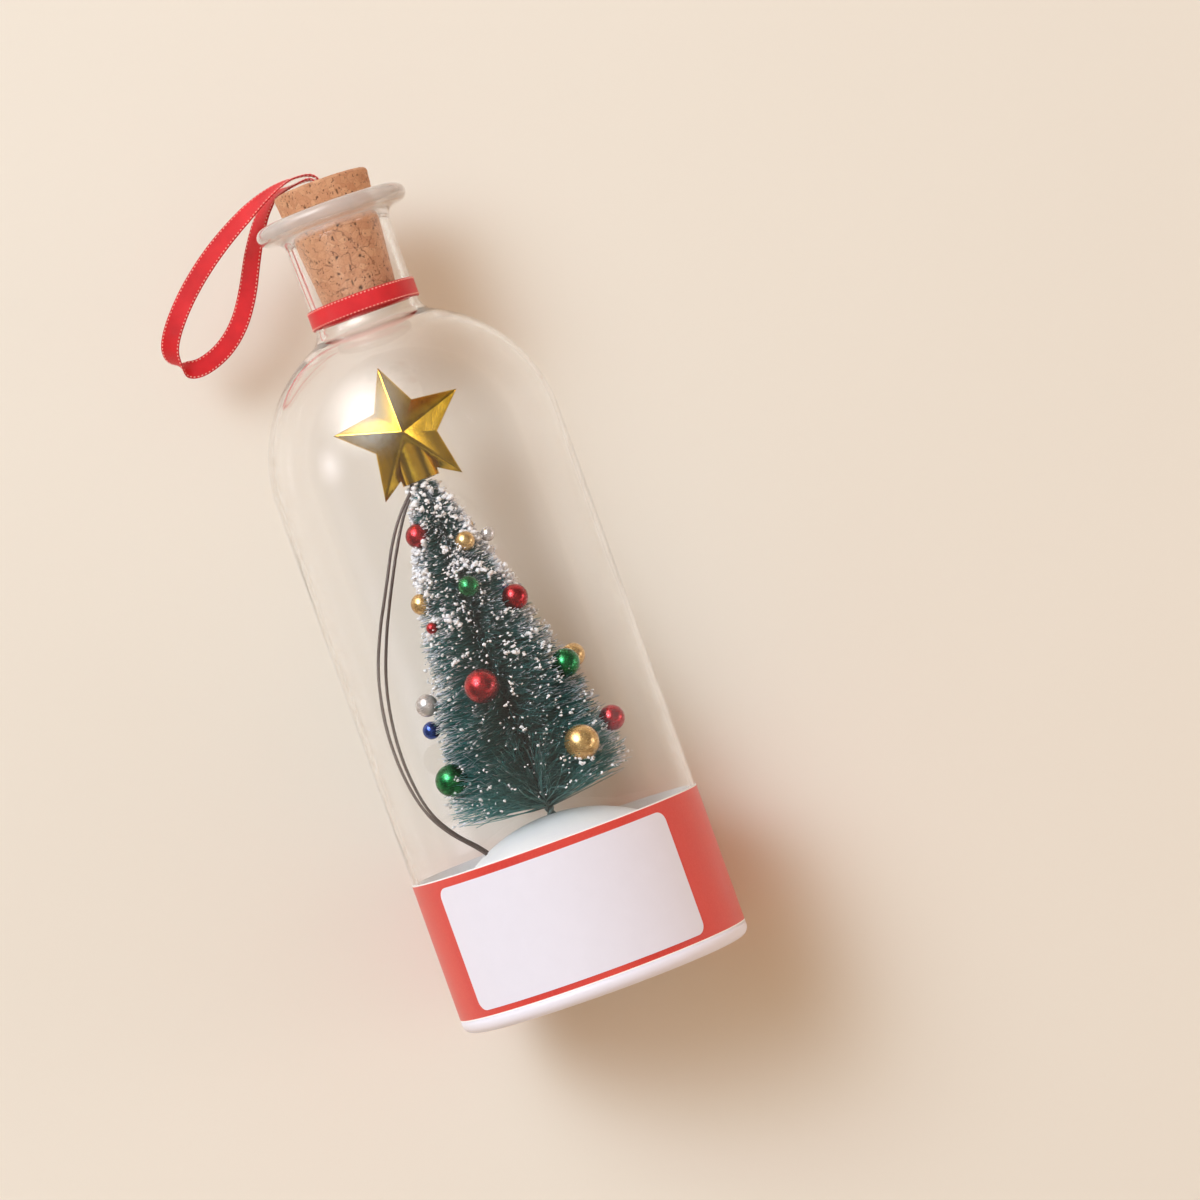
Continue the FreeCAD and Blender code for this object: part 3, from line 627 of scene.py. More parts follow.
def bottle_mesh():
    flare_start = LIP_BOTTOM - LIP_FLARE
    mouth = BORE + MOUTH_ROUND
    mouth_bottom = LIP_TOP - MOUTH_ROUND
    level, angle = shoulder_join(BODY, NECK_FILLET, NECK)
    outer = straight((BODY, RIM), (BODY, SHOULDER), 24)
    outer += arc((0, SHOULDER), BODY, 0, angle, 36)
    outer += arc((NECK + NECK_FILLET, level), NECK_FILLET, angle + 180, 180, 10)
    outer += straight((NECK, level), (NECK, flare_start), 10)
    outer += arc((NECK + LIP_FLARE, flare_start), LIP_FLARE, 180, 90, 8)
    outer += arc((LIP_RADIUS, LIP_BOTTOM + LIP_ROUND), LIP_ROUND, -90, 90, 16)
    outer += straight((LIP_RADIUS, LIP_TOP), (mouth, LIP_TOP), 3)
    outer += arc((mouth, mouth_bottom), MOUTH_ROUND, 90, 180, 8)
    level, angle = shoulder_join(BODY_INNER, NECK_FILLET_INNER, BORE)
    inner = straight((BORE, mouth_bottom), (BORE, level), 14)
    inner += arc((BORE + NECK_FILLET_INNER, level), NECK_FILLET_INNER, 180, angle + 180, 10)
    inner += arc((0, SHOULDER), BODY_INNER, angle, 0, 40)
    inner += straight((BODY_INNER, SHOULDER), (BODY_INNER, RIM), 24)
    waved = []
    for radius, height in inner:
        swell = math.exp(-((height - SWELL_LEVEL) / SWELL_REACH) ** 2)
        waved.append((radius - swell * (0.3 + 0.08 * math.sin(height * 2.4)), height))
    mesh = spun("bottle", outer + waved + [(BODY_INNER, RIM)], BOTTLE_STEPS)
    outside = mesh.attributes.new("outside", "FLOAT", "POINT")
    for i in range(len(mesh.vertices)):
        outside.data[i].value = 1.0 if i < BOTTLE_STEPS * len(outer) else 0.0
    return mesh


new_object("bottle", bottle_mesh(), "clear_plastic", "bottle", "bottle_shell")


# Cork: the CAD cork, remeshed, with its skin broken into granules and pits

CORK_VOXEL = 0.26 * MM


def cork_mesh():
    holder = in_scene("cork_form", merged_copy("cork_stopper"))
    remesh = holder.modifiers.new("remesh", "REMESH")
    remesh.mode = "VOXEL"
    remesh.voxel_size = CORK_VOXEL
    mesh = plain_mesh(holder)
    bpy.data.objects.remove(holder)
    pits = mesh.attributes.new("pit", "FLOAT", "POINT")
    normals = [v.normal.copy() for v in mesh.vertices]
    for vertex, normal in zip(mesh.vertices, normals):
        place = vertex.co * 1000
        low = noise.noise(place * 0.55)
        crumb = noise.noise(place * 1.9)
        grain = noise.noise(place * 4.5)
        hole = noise.noise(Vector((place.x, place.y, place.z * 0.7)) * 1.25 + Vector((7, 3, 1)))
        pit = min(1.0, max(0.0, (hole - 0.54) / 0.08))
        small = min(1.0, max(0.0, (crumb - 0.56) / 0.08))
        depth = 0.08 * low + 0.05 * crumb + 0.04 * grain - 0.4 * pit - 0.2 * small - 0.08
        vertex.co += normal * min(depth, 0.02) * MM
        pits.data[vertex.index].value = min(1.0, 0.9 * pit + 0.7 * small)
    shade(mesh)
    mesh.materials.clear()
    return mesh


new_object("cork", cork_mesh(), "cork", "cork", "cork_stopper")


# Label: a printed wrap with pale paper at its back and edges; the panel on its front comes from the CAD

LABEL_OUTER = 33.2
LABEL_INNER = 33.05
LABEL_BOTTOM = 3.2
LABEL_TOP = 34.9
LABEL_MARGIN = 0.3
LABEL_SEAM = 0.24
LABEL_STEPS = 200


def label_wrap():
    """The wrap, open at the seam at the back, printed on its outside up to a thin pale margin."""
    low = LABEL_BOTTOM + LABEL_MARGIN
    high = LABEL_TOP - LABEL_MARGIN
    ring = [(LABEL_INNER, LABEL_BOTTOM), (LABEL_OUTER, LABEL_BOTTOM)]
    ring += straight((LABEL_OUTER, low), (LABEL_OUTER, high), 6)
    ring += [(LABEL_OUTER, high), (LABEL_OUTER, LABEL_TOP), (LABEL_INNER, LABEL_TOP)]
    count = len(ring)
    gap = LABEL_SEAM / 2 / LABEL_OUTER
    points = []
    for i in range(LABEL_STEPS + 1):
        turn = math.pi / 2 + gap + (2 * math.pi - 2 * gap) * i / LABEL_STEPS
        points += [around(radius, turn, level) * MM for radius, level in ring]
    mesh = mesh_of("label_wrap", points, ring_faces(LABEL_STEPS + 1, count))
    mesh.materials.append(LOOKS["label_red"])
    mesh.materials.append(LOOKS["paper_back"])
    for face in mesh.polygons:
        printed = face.index < LABEL_STEPS * count and 2 <= face.index % count < count - 3
        face.material_index = 0 if printed else 1
    mesh.set_sharp_from_angle(angle=math.radians(40))
    new_object("label_wrap", mesh, "label_red", "bottle", "label_band")


label_wrap()


# Ribbons and wires

RIBBON_WIDTH = 4.2
RIBBON_THICKNESS = 0.36
RIBBON_CUP = 0.12
STRIP_COLUMNS = 9
STITCH_SHARE = 0.84
NECK_RIBBON_RADIUS = 12.2
NECK_RIBBON_LEVEL = 158.8
NECK_RIBBON_STEPS = 168
WIRE_DIAMETER = 0.7
RIBBON = (
    ((0.5, 0.0, 179.5), (0.0, 1.0, 0.0)),
    ((0.5, 0.0, 187.4), (0.0, 1.0, 0.0)),
    ((-0.8, 0.0, 189.7), (0.0, 1.0, 0.0)),
    ((-5.2, 0.2, 190.4), (0.0, 1.0, 0.1)),
    ((-11.0, 1.0, 189.3), (-0.2, 0.85, 0.5)),
    ((-18.0, 2.6, 186.4), (-0.35, 0.5, 0.8)),
    ((-26.6, 5.0, 181.8), (-0.45, 0.25, 0.86)),
    ((-34.4, 7.6, 176.2), (-0.55, 0.1, 0.8)),
    ((-40.4, 9.8, 170.4), (-0.62, 0.0, 0.77)),
    ((-44.0, 12.0, 165.6), (-0.66, 0.0, 0.75)),
    ((-44.6, 14.4, 162.4), (-0.66, 0.0, 0.75)),
    ((-43.0, 16.4, 159.8), (-0.6, 0.0, 0.8)),
    ((-39.6, 17.2, 158.6), (-0.45, 0.0, 0.9)),
    ((-33.2, 16.6, 160.6), (-0.45, 0.0, 0.88)),
    ((-27.8, 15.2, 164.8), (-0.58, 0.05, 0.8)),
    ((-23.6, 13.8, 170.8), (-0.7, 0.1, 0.7)),
    ((-20.2, 12.2, 177.4), (-0.72, 0.3, 0.6)),
    ((-16.2, 10.0, 183.8), (-0.6, 0.6, 0.5)),
    ((-11.8, 7.4, 188.3), (-0.4, 0.8, 0.4)),
    ((-6.6, 3.8, 188.8), (0.05, 0.97, 0.15)),
    ((-1.9, 0.8, 188.9), (0.0, 1.0, 0.0)),
    ((-0.5, 0.0, 187.6), (0.0, 1.0, 0.0)),
    ((-0.5, 0.0, 179.5), (0.0, 1.0, 0.0)),
)
WIRES = {
    "led_wire_a": (
        (-2.9, -1.0, 120.7), (-2.9, -1.0, 117.5), (-7.4, -1.2, 113.4), (-11.6, -1.8, 107.6),
        (-16.2, -2.4, 98.6), (-21.8, -3.0, 88.0), (-25.3, -3.5, 78.2), (-26.8, -3.7, 68.3),
        (-26.8, -3.6, 58.4), (-25.2, -3.4, 49.4), (-21.4, -3.0, 42.8), (-16.8, -2.6, 37.9),
        (-13.2, -2.6, 32.8), (-8.6, -3.4, 25.4), (-1.8, -5.0, 19.6), (7.0, -7.6, 16.0),
        (7.0, -7.6, 10.8),
    ),
    "led_wire_b": (
        (-2.9, 1.4, 120.7), (-2.9, 1.4, 117.3), (-7.0, 1.6, 112.9), (-10.6, 1.0, 107.0),
        (-15.6, 0.0, 97.6), (-20.4, -0.8, 87.4), (-23.9, -1.2, 77.6), (-25.6, -1.2, 67.9),
        (-25.8, -1.1, 58.0), (-24.4, -0.8, 48.9), (-20.6, -0.4, 42.2), (-16.0, -0.2, 37.6),
        (-12.4, -0.4, 32.4), (-7.4, -1.4, 25.8), (0.6, -2.8, 20.2), (9.6, -4.6, 16.2),
        (9.6, -4.6, 10.8),
    ),
}


def route_path(name, points):
    """Points, in metres, along a NURBS spline through the given ones."""
    curve = bpy.data.curves.new(name, "CURVE")
    curve.dimensions = "3D"
    spline = curve.splines.new("NURBS")
    spline.points.add(len(points) - 1)
    for point, place in zip(spline.points, points):
        point.co = (*(Vector(place) * MM), 1.0)
    spline.order_u = 3
    spline.use_endpoint_u = True
    spline.resolution_u = 9
    holder = in_scene(name, curve)
    path = [v.co.copy() for v in plain_mesh(holder).vertices]
    bpy.data.objects.remove(holder)
    return path


def direction(path, i):
    return (path[min(i + 1, len(path) - 1)] - path[max(i - 1, 0)]).normalized()


def tube(name, path, radius, sides=10):
    """A round tube with closed ends along a path, in the path's units."""
    points = []
    across = Vector((0.31, 0.95, 0.05))
    for i, place in enumerate(path):
        along = direction(path, i)
        across = (across - along * across.dot(along)).normalized()
        other = along.cross(across)
        for k in range(sides):
            turn = 2 * math.pi * k / sides
            points.append(place + (across * math.cos(turn) + other * math.sin(turn)) * radius)
    return mesh_of(name, points, ring_faces(len(path), sides))


def strip(name, path, widths, cup, closed=False):
    """A ribbon along a path, cupped a little, with a UV across it and, in millimetres, along it.
    Returns it with the four lines along its edges that its stitches sit on."""
    width = RIBBON_WIDTH * MM
    thickness = RIBBON_THICKNESS * MM
    points = []
    runs = []
    run = 0.0
    stitches = ([], [], [], [])
    for i, place in enumerate(path):
        if closed:
            along = (path[(i + 1) % len(path)] - path[i - 1]).normalized()
        else:
            along = direction(path, i)
        across = (widths[i] - along * widths[i].dot(along)).normalized()
        face = along.cross(across)
        if i:
            run += (place - path[i - 1]).length / MM
        runs.append(run)
        for side in (1, -1):
            for c in range(STRIP_COLUMNS):
                share = (2 * c / (STRIP_COLUMNS - 1) - 1) * side
                thin = 1 - 0.55 * share ** 8
                height = cup * (1 - share ** 2) + side * thickness / 2 * thin
                points.append(place + across * (share * width / 2) + face * height)
        rows = ((STITCH_SHARE, 1), (-STITCH_SHARE, 1), (STITCH_SHARE, -1), (-STITCH_SHARE, -1))
        for line, (share, side) in zip(stitches, rows):
            height = cup * (1 - share ** 2) + side * thickness / 2
            line.append(place + across * (share * width / 2) + face * height)
    ring = 2 * STRIP_COLUMNS
    mesh = mesh_of(name, points, ring_faces(len(path), ring, closed))
    layer = mesh.uv_layers.new(name="strip")
    for loop in mesh.loops:
        row, place = divmod(loop.vertex_index, ring)
        column = place if place < STRIP_COLUMNS else ring - 1 - place
        layer.data[loop.index].uv = (column / (STRIP_COLUMNS - 1), runs[row])
    return mesh, stitches


def line_mesh(name, rows, closed=False):
    mesh = bpy.data.meshes.new(name)
    points = [tuple(p) for row in rows for p in row]
    lines = []
    start = 0
    for row in rows:
        lines += [(start + i, start + i + 1) for i in range(len(row) - 1)]
        if closed:
            lines.append((start + len(row) - 1, start))
        start += len(row)
    mesh.from_pydata(points, lines, [])
    return mesh


def picot_tree():
    """Small raised stitches, evenly spaced along the ribbon's edges."""
    tree, given, out = node_tree("picots", Float=["Spacing", "Length", "Width"])
    curve = output("GeometryNodeMeshToCurve", {0: given["Geometry"]})
    points = output("GeometryNodeResampleCurve", {"Curve": curve, "Length": given["Spacing"]}, mode="LENGTH")
    turn = facing(add(tree, "GeometryNodeInputTangent").outputs[0])
    size = combined(given["Length"], given["Width"], given["Width"])
    end_smooth(repeated(points, grain_shape(tree), turn, size), given["Material"], out)
    return tree


PICOTS = picot_tree()
PICOT_SPACING = 0.9 * MM
PICOT_LENGTH = 0.26 * MM
PICOT_WIDTH = 0.16 * MM


def ribbon(name, body, path, widths, cup, closed=False):
    """A ribbon's band, which stands for the CAD node of that name, and its edge stitches."""
    mesh, stitches = strip(name + "_band", path, widths, cup, closed)
    band = new_object(name + "_band", mesh, "ribbon_satin", body, name)
    lines = line_mesh(name + "_rows", stitches, closed)
    loops = grown(name + "_picots", PICOTS, lines, Spacing=PICOT_SPACING, Length=PICOT_LENGTH,
                  Width=PICOT_WIDTH, Material=LOOKS["picot_thread"])
    picots = new_object(name + "_picots", loops, "picot_thread", body)
    return band, picots


def between(values, knots, u):
    """Linear interpolation of vectors at knots."""
    for i in range(len(knots) - 1):
        if u <= knots[i + 1]:
            share = (u - knots[i]) / (knots[i + 1] - knots[i])
            return values[i].lerp(values[i + 1], share)
    return values[-1]


def hanging_ribbon():
    path = route_path("ribbon_route", [place for place, across in RIBBON])
    count = len(RIBBON)
    knots = [0.0] + [i - 0.5 for i in range(1, count - 1)] + [count - 2.0]
    given = [Vector(across).normalized() for place, across in RIBBON]
    widths = [between(given, knots, (count - 2) * i / (len(path) - 1)) for i in range(len(path))]
    band, picots = ribbon("hanging_ribbon", "cork", path, widths, RIBBON_CUP * MM)


def neck_ribbon():
    path = []
    for i in range(NECK_RIBBON_STEPS):
        turn = 2 * math.pi * i / NECK_RIBBON_STEPS
        reach = NECK_RIBBON_RADIUS + 0.06 * noise.noise(around(3, turn, 0))
        path.append(around(reach, turn, NECK_RIBBON_LEVEL) * MM)
    widths = [Vector((0, 0, 1))] * NECK_RIBBON_STEPS
    ribbon("neck_ribbon", "bottle", path, widths, 0.0, True)


def wires():
    for name, points in WIRES.items():
        path = route_path(name + "_route", points)
        mesh = tube(name + "_lead", path, WIRE_DIAMETER / 2 * MM)
        piece = new_object(name + "_lead", mesh, "wire_brown", "bottle", name)


hanging_ribbon()
neck_ribbon()
wires()


# Tree: built upright in millimetres about its own stem, then scaled and tipped with it

TREE_FOOT = 39.4
TREE_TILT = math.radians(-1.5)
TREE = Matrix.Translation((MM, 0, TREE_FOOT * MM)) @ Matrix.Rotation(TREE_TILT, 4, "Y")
TREE = TREE @ Matrix.Scale(MM, 4) @ Matrix.Translation((0, 0, -TREE_FOOT))
BRUSH_TOP = 115.0
BRUSH_BOTTOM = 46.0
BRUSH_SPREAD = 18.4
BRUSH_TIP = 3.6
BRISTLE_THICKNESS = 0.12
STEM_BOTTOM = 30.4
STEM_LENGTH = 90.4
STEM_PITCH = 3.4
STRAND_OFFSET = 0.52
STRAND_RADIUS = 0.56
STRAND_STEPS = 460


def brush_radius(level):
    """The brush's reach at a level, as nodes."""
    share = calc("POWER", stretch(level, BRUSH_TOP, BRUSH_BOTTOM), 0.8)
    return plus(times(share, BRUSH_SPREAD), BRUSH_TIP)


def about(turn, reach, level):
    """A position at an angle about the stem, as nodes."""
    return combined(times(calc("COSINE", turn), reach), times(calc("SINE", turn), reach), level)


def bristle_tree():
    """Fibres that start on the stem and end about the brush's outline, each with its own bend."""
    tree, given, out = node_tree("bristles", Int=["Count", "Seed"], Float=["Low", "High", "Thickness"])
    level = chance(tree, given["Low"], given["High"], given["Seed"])
    points = output("GeometryNodePoints", {
        "Count": given["Count"], "Position": combined(0.0, 0.0, level)})
    height = parts_of(add(tree, "GeometryNodeInputPosition").outputs[0])[2]
    turn = chance(tree, 0.0, 2 * math.pi, 11)
    parting = speckle(about(turn, 1.3, times(height, 0.09)), 1.7, 2.0, 0.5)
    turn = plus(turn, stretch(parting, 0.3, 0.7, -0.5, 0.5))
    low = stretch(height, 41.0, 54.0, 1.0, 0.0)
    fan = times(calc("POWER", chance(tree, 0.0, 1.0, 17), 2.0), 0.75)
    fan = times(low, plus(0.14, fan))
    rise = plus(fan, chance(tree, -0.16, 0.16, 12))
    rise = calc("MAXIMUM", rise, stretch(low, 0.0, 1.0, -0.2, 0.1))
    flat = calc("COSINE", rise)
    climb = calc("SINE", rise)
    tuft = speckle(about(turn, 1.6, times(height, 0.22)), 1.0, 2.0, 0.5)
    uneven = minus(1.0, calc("POWER", chance(tree, 0.0, 0.75, 13), 3.0))
    limit = brush_radius(height)
    for step in range(2):
        tip_level = plus(height, times(limit, climb))
        limit = calc("MINIMUM", limit, calc("DIVIDE", brush_radius(tip_level), flat))
    reach = times(limit, stretch(tuft, 0.3, 0.65, 0.86, 1.03))
    reach = times(reach, uneven)
    frost = plus(chance(tree, 0.0, 1.0, 14), stretch(height, 50.0, 105.0, 0.0, 0.35))
    front = calc("MAXIMUM", 0.0, times(calc("SINE", turn), -1.0))
    sheltered = times(front, stretch(height, 62.0, 98.0, 0.42, 0.0))
    frost = stretch(minus(frost, sheltered), 0.3, 0.8)
    points = stored(points, "frost", frost)
    # Tone differs at random from fibre to fibre. The lowest fibres get extra tone, which is painted light:
    # it makes the bottom fan paler and takes off some of the painted shade at its roots.
    tone = plus(chance(tree, 0.0, 1.0, 15), times(low, 0.7))
    points = stored(points, "tone", tone)
    turned = facing_tipped(about(turn, flat, climb), (1.0, 0.0, 0.0), 0.0, 2 * math.pi, 16)
    fibre = add(tree, "GeometryNodeCurveQuadraticBezier", {
        "Resolution": 4, "Start": (0.0, 0.0, 0.0), "Middle": (0.55, 0.07, 0.0), "End": (1.0, -0.02, 0.0)})
    curves = repeated(points, fibre.outputs[0], turned, reach)
    along = add(tree, "GeometryNodeSplineParameter").outputs["Factor"]
    curves = stored(curves, "along", along)
    thin = times(given["Thickness"], stretch(along, 0.2, 1.0, 1.0, 0.6))
    ring = add(tree, "GeometryNodeCurvePrimitiveCircle", {"Resolution": 3, "Radius": 1.0})
    solid = output("GeometryNodeCurveToMesh", {
        "Curve": curves, "Profile Curve": ring.outputs[0], "Scale": thin, "Fill Caps": True})
    end_smooth(solid, given["Material"], out)
    return tree


def fleck_tree():
    """Grains of snow caught among the fibres, in clumps, more of them towards the top."""
    tree, given, out = node_tree(
        "flecks", Int=["Count", "Seed"], Float=["Low", "High", "Inner", "Size", "Long", "Clump"])
    level = chance(tree, given["Low"], given["High"], given["Seed"])
    turn = chance(tree, 0.0, 2 * math.pi, 21)
    reach = times(brush_radius(level), chance(tree, given["Inner"], 1.0, 22))
    points = output("GeometryNodePoints", {
        "Count": given["Count"], "Position": about(turn, reach, level)})
    here = add(tree, "GeometryNodeInputPosition").outputs[0]
    clump = speckle(here, 0.2, 2.0, 0.5)
    bar = minus(given["Clump"], stretch(parts_of(here)[2], 70.0, 106.0, 0.0, 0.14))
    bare = output("FunctionNodeCompare", {0: clump, 1: bar}, data_type="FLOAT", operation="LESS_THAN")
    points = output("GeometryNodeDeleteGeometry", {"Geometry": points, "Selection": bare}, domain="POINT")
    outward = vector("MULTIPLY", here, (1.0, 1.0, 0.0))
    turned = facing_tipped(outward, (0.0, 1.0, 0.0), -0.4, 0.4, 23)
    width = times(given["Size"], chance(tree, 0.35, 1.0, 24))
    length = times(width, chance(tree, 1.0, given["Long"], 25))
    height = times(width, chance(tree, 0.6, 1.1, 26))
    size = combined(length, width, height)
    solid = repeated(points, grain_shape(tree), turned, size)
    lumps = vector("SUBTRACT", drift(here, 1.9, 2.0), (0.5, 0.5, 0.5))
    lumps = output("ShaderNodeVectorMath", {0: lumps, 3: times(given["Size"], 2.6)}, operation="SCALE")
    solid = output("GeometryNodeSetPosition", {"Geometry": solid, "Offset": lumps})
    end_smooth(solid, given["Material"], out)
    return tree


def tree_piece(name, mesh, slot, replaced):
    mesh.transform(TREE)
    new_object(name, mesh, slot, "bottle", replaced)


BRISTLES = bristle_tree()
FLECKS = fleck_tree()
for name, count, low, high, seed in (
        ("bristles_lower", 5600, 40.9, 70.0, 1),
        ("bristles_upper", 5800, 70.0, 117.2, 2)):
    mesh = grown(name, BRISTLES, Count=count, Low=low, High=high, Thickness=BRISTLE_THICKNESS, Seed=seed,
                 Material=LOOKS["bristle_green"])
    tree_piece(name, mesh, "bristle_green", "tree_bristles")
for name, count, low, high, inner, size, long, clump, seed in (
        ("snow_grains", 2000, 44.0, 113.0, 0.82, 0.36, 1.5, 0.46, 3),
        ("snow_threads", 700, 44.0, 110.0, 0.82, 0.2, 7.0, 0.52, 5),
        ("snow_lumps", 5000, 46.0, 104.0, 0.88, 0.55, 1.5, 0.66, 7),
        ("snow_clumps", 620, 84.0, 117.4, 0.84, 0.72, 2.2, 0.6, 4)):
    mesh = grown(name, FLECKS, Count=count, Low=low, High=high, Inner=inner, Size=size, Long=long,
                 Clump=clump, Seed=seed, Material=LOOKS["snow_fleck"])
    tree_piece(name, mesh, "snow_fleck", "tree_bristles")


def stem():
    """Two wires twisted round each other."""
    mesh = bpy.data.meshes.new("stem_twist")
    with edited(mesh) as joined:
        for start in (0.0, math.pi):
            path = []
            for i in range(STRAND_STEPS):
                level = STEM_BOTTOM + STEM_LENGTH * i / (STRAND_STEPS - 1)
                path.append(around(STRAND_OFFSET, start + level * 2 * math.pi / STEM_PITCH, level))
            joined.from_mesh(tube("strand", path, STRAND_RADIUS, 8))
    tree_piece("stem_twist", mesh, "stem_wire", "tree_stem")


stem()


def ball(name):
    """A smooth sphere about the CAD bauble's own."""
    low, high = (Vector(corner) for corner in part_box(name))
    mesh = bpy.data.meshes.new(name + "_ball")
    with edited(mesh) as shape:
        bmesh.ops.create_uvsphere(shape, u_segments=48, v_segments=24, radius=(high - low).x / 2,
                                  matrix=Matrix.Translation((low + high) / 2))
    shade(mesh)
    return mesh


for name in sorted(nodes):
    if name.startswith("bauble_"):
        new_object(name + "_ball", ball(name), "bauble_" + name.split("_")[2], "bottle", name)


def even_shading(name, mesh, cutter=None):
    """The mesh, less a cutter's shape, with its flat faces shaded flat and its rounds smooth."""
    holder = in_scene(name + "_form", mesh)
    if cutter:
        cut = holder.modifiers.new("cut", "BOOLEAN")
        cut.operation = "DIFFERENCE"
        cut.object = cutter
    holder.modifiers.new("normals", "WEIGHTED_NORMAL").keep_sharp = True
    shaded = plain_mesh(holder)
    bpy.data.objects.remove(holder)
    return shaded


# Star: the CAD's two half shells with their ridges and outline rounded, but not the seam where they meet

RIDGE_LENGTH = 10.0
RIDGE_ROUND = 0.36
RIDGE_ANGLE = math.radians(80)
CREASE_ANGLE = math.radians(18)


def star_half(name):
    mesh = nodes[name].data.copy()
    mesh.materials.clear()
    with edited(mesh) as shape:
        bmesh.ops.remove_doubles(shape, verts=shape.verts, dist=MERGE)
        bmesh.ops.dissolve_limit(shape, angle_limit=math.radians(3), verts=shape.verts, edges=shape.edges)
        ridges = [edge for edge in shape.edges
                  if edge.calc_length() > RIDGE_LENGTH * MM and edge.calc_face_angle(0) < RIDGE_ANGLE]
        bmesh.ops.bevel(
            shape, geom=ridges, offset=RIDGE_ROUND * MM, segments=6, profile=0.5, affect="EDGES")
        shape.normal_update()
        for face in shape.faces:
            face.smooth = True
        for edge in shape.edges:
            edge.smooth = edge.calc_face_angle(0) < CREASE_ANGLE
    new_object(name + "_plated", even_shading(name, mesh), "star_gold", "bottle", name)


star_half("star_front")
star_half("star_back")


# Moulded and bought-in pieces: the CAD's own shapes, merged and shaded smooth

SHARP_ANGLE = math.radians(32)
SLOT_ARM = 1.2
SLOT_HALF_WIDTH = 0.25
SLOT_DEPTH = 0.55
BOSS_CIRCLE = 25.5


def smooth_copy(name, cutter=None):
    mesh = merged_copy(name)
    shade(mesh)
    mesh.set_sharp_from_angle(angle=SHARP_ANGLE)
    mesh = even_shading(name, mesh, cutter)
    slot = mesh.materials[0].name.split(".")[0]
    new_object(name + "_smooth", mesh, slot, nodes[name]["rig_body"], name)


def cross_slots(places, level):
    """Cross-shaped bars, for the recesses in screw heads at some places, in millimetres."""
    quarter = ((SLOT_ARM, SLOT_HALF_WIDTH), (SLOT_HALF_WIDTH, SLOT_HALF_WIDTH), (SLOT_HALF_WIDTH, SLOT_ARM))
    outline = [(x, y) for x, y in quarter] + [(-x, y) for x, y in reversed(quarter)]
    outline += [(-x, -y) for x, y in quarter] + [(x, -y) for x, y in reversed(quarter)]
    points = []
    faces = []
    for x, y in places:
        first = len(points)
        for height in (level - SLOT_DEPTH, level + SLOT_DEPTH):
            points += [Vector((x + dx, y + dy, height)) * MM for dx, dy in outline]
        faces += [tuple(first + corner for corner in face) for face in ring_faces(2, len(outline))]
    return in_scene("slots", mesh_of("slots", points, faces, False))


SCREW_PLACES = {
    "housing_screws": ([(BOSS_CIRCLE * math.cos(math.radians(a)), BOSS_CIRCLE * math.sin(math.radians(a)))
                        for a in (111.0, 225.0, 353.0)], 0.4),
    "battery_door_screw": ([(13.35, 17.7)], 0.6),
}
for name, (places, level) in SCREW_PLACES.items():
    slots = cross_slots(places, level)
    smooth_copy(name, slots)
    bpy.data.objects.remove(slots)
remade = {
    "bottle_shell", "cork_stopper", "label_band", "hanging_ribbon", "neck_ribbon", "tree_bristles",
    "tree_stem", "star_front", "star_back", *WIRES, *SCREW_PLACES}
for name in sorted(nodes):
    if name not in remade and not name.startswith("bauble_"):
        smooth_copy(name)


# Stage: the bottle lies on a pale table, which is only there from the front

TABLE_Y = 0.0345
TABLE_HALF = 3.0


def table():
    material, place = new_material("table_cream")
    tree = material.node_tree
    cloud = speckle(place, 4.0, 3.0)
    grain = speckle(place, 700.0, 3.0)
    finished(
        material,
        Base_Color=mix(cloud, linear(230, 222, 211), linear(235, 228, 218)),
        Roughness=stretch(grain, 0.3, 0.7, 0.6, 0.75),
        Specular_IOR_Level=0.25)
    behind = add(tree, "ShaderNodeNewGeometry").outputs["Backfacing"]
    clear = add(tree, "ShaderNodeBsdfTransparent").outputs[0]
    end_in(tree, "Material Output", behind, "Principled BSDF", clear)
    mesh = bpy.data.meshes.new("table")
    corners = [(x * TABLE_HALF, TABLE_Y, z * TABLE_HALF) for x, z in ((-1, -1), (1, -1), (1, 1), (-1, 1))]
    mesh.from_pydata(corners, [], [(0, 1, 2, 3)])
    mesh.materials.append(material)
    in_scene("table", mesh)


def lamp(name, place, aim_level, shape, size, power, colour, soft, seen):
    """An area lamp, aimed at the bottle's axis. Soft is the share of its width over which it fades out
    towards its edge. Seen says whether it lights matt surfaces or shows in glossy ones."""
    light = bpy.data.lights.new(name, "AREA")
    light.shape = shape
    light.size, light.size_y = size
    light.energy = power
    light.color = colour
    light.use_nodes = True
    tree = light.node_tree
    across = add(tree, "ShaderNodeNewGeometry").outputs["Parametric"]
    middle = fed("ShaderNodeVectorMath", {0: across, 1: (0.5, 0.5, 0.0)}, operation="DISTANCE")
    fade = stretch(middle.outputs["Value"], 0.5, 0.5 - soft)
    plug(tree.nodes["Emission"].inputs["Strength"], times(fade, fade))
    piece = in_scene(name, light)
    piece.location = place
    aim = Vector((0, 0, aim_level)) - Vector(place)
    piece.rotation_euler = aim.to_track_quat("-Z", "Y").to_euler()
    piece.visible_camera = False
    piece.visible_diffuse = seen == "matt"
    piece.visible_glossy = seen == "glossy"


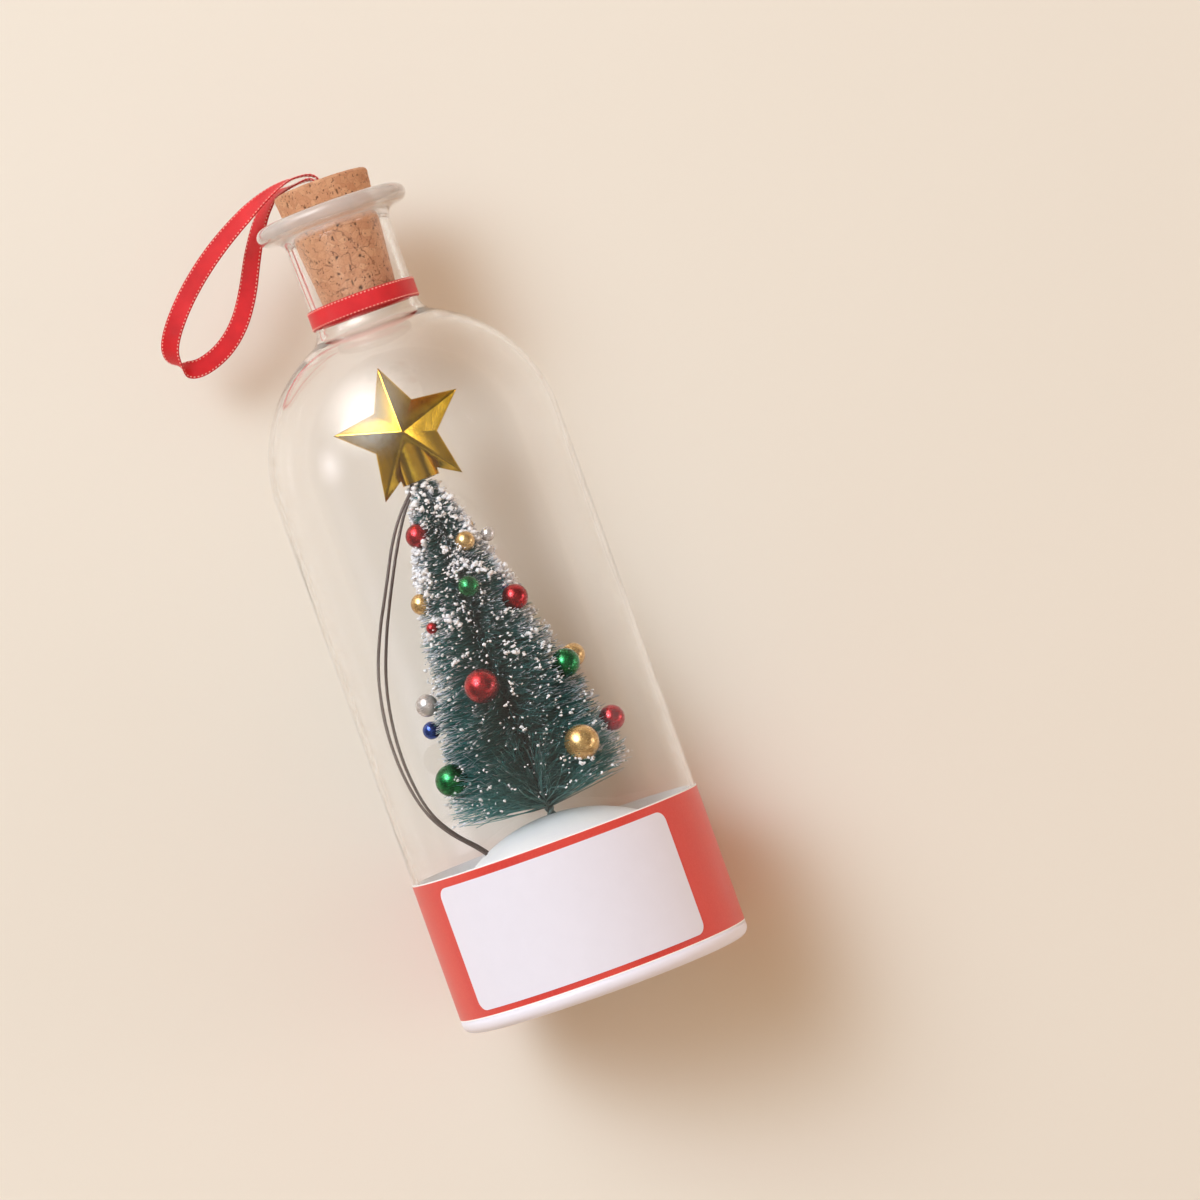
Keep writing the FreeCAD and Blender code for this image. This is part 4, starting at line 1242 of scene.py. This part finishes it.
table()
LAMPS = (
    ("key", (-1.02, -1.99, 1.30), 0.08, "DISK", (2.8, 2.8), 294.0, (0.74, 0.89, 1.0), 0.45, "matt"),
    ("glow", (-0.41, -0.57, 0.86), 0.12, "DISK", (1.7, 1.7), 66.0, (1.0, 0.98, 0.95), 0.48, "glossy"),
    ("fill", (0.55, -0.30, -0.34), 0.08, "RECTANGLE", (0.3, 0.4), 1.7, (1.0, 0.97, 0.94), 0.45, "glossy"),
    ("side", (1.95, -0.45, -0.35), 0.06, "DISK", (1.6, 1.6), 30.0, (1.0, 0.96, 1.0), 0.45, "matt"),
    ("sheet", (0.42, -0.60, -0.55), 0.12, "RECTANGLE", (0.8, 0.5), 1.0, (1.0, 0.96, 0.9), 0.3, "glossy"),
)
for row in LAMPS:
    lamp(*row)


def room():
    """Warm light from all round, and a pale surround for what is seen in and through the bottle."""
    world = bpy.data.worlds.new("room")
    world.use_nodes = True
    bpy.context.scene.world = world
    tree = world.node_tree
    soft = tree.nodes["Background"].inputs
    soft["Color"].default_value = linear(255, 215, 173)
    soft["Strength"].default_value = 0.55
    path = add(tree, "ShaderNodeLightPath").outputs
    shown = calc("MAXIMUM", path["Is Camera Ray"], path["Is Transmission Ray"])
    shown = calc("MAXIMUM", shown, path["Is Glossy Ray"])
    sight = add(tree, "ShaderNodeTexCoord").outputs["Generated"]
    away = parts_of(sight)[1]
    mirrored = calc("MINIMUM", path["Glossy Depth"], 1.0)
    near = stretch(away, -0.95, -0.7, 0.5, 0.14)
    far = stretch(away, -0.3, 0.1, 0.14, 0.85)
    strength = stretch(mirrored, 0.0, 1.0, 1.0, calc("MAXIMUM", near, far))
    pale = output("ShaderNodeBackground", {"Color": linear(243, 231, 216), "Strength": strength})
    end_in(tree, "World Output", shown, "Background", pale)


room()

# Camera: square on to the table, rolled so that the bottle lies aslant
camera = bpy.data.cameras.new("camera")
camera.sensor_width = 36
camera.lens = 163.6
eye = in_scene("camera", camera)
eye.matrix_world = Matrix((
    (0.9409, 0.3387, 0.0, 0.027),
    (0.0, 0.0, -1.0, -1.2),
    (-0.3387, 0.9409, 0.0, 0.080),
    (0.0, 0.0, 0.0, 1.0),
))
bpy.context.scene.camera = eye
bpy.context.scene.view_settings.view_transform = "Standard"
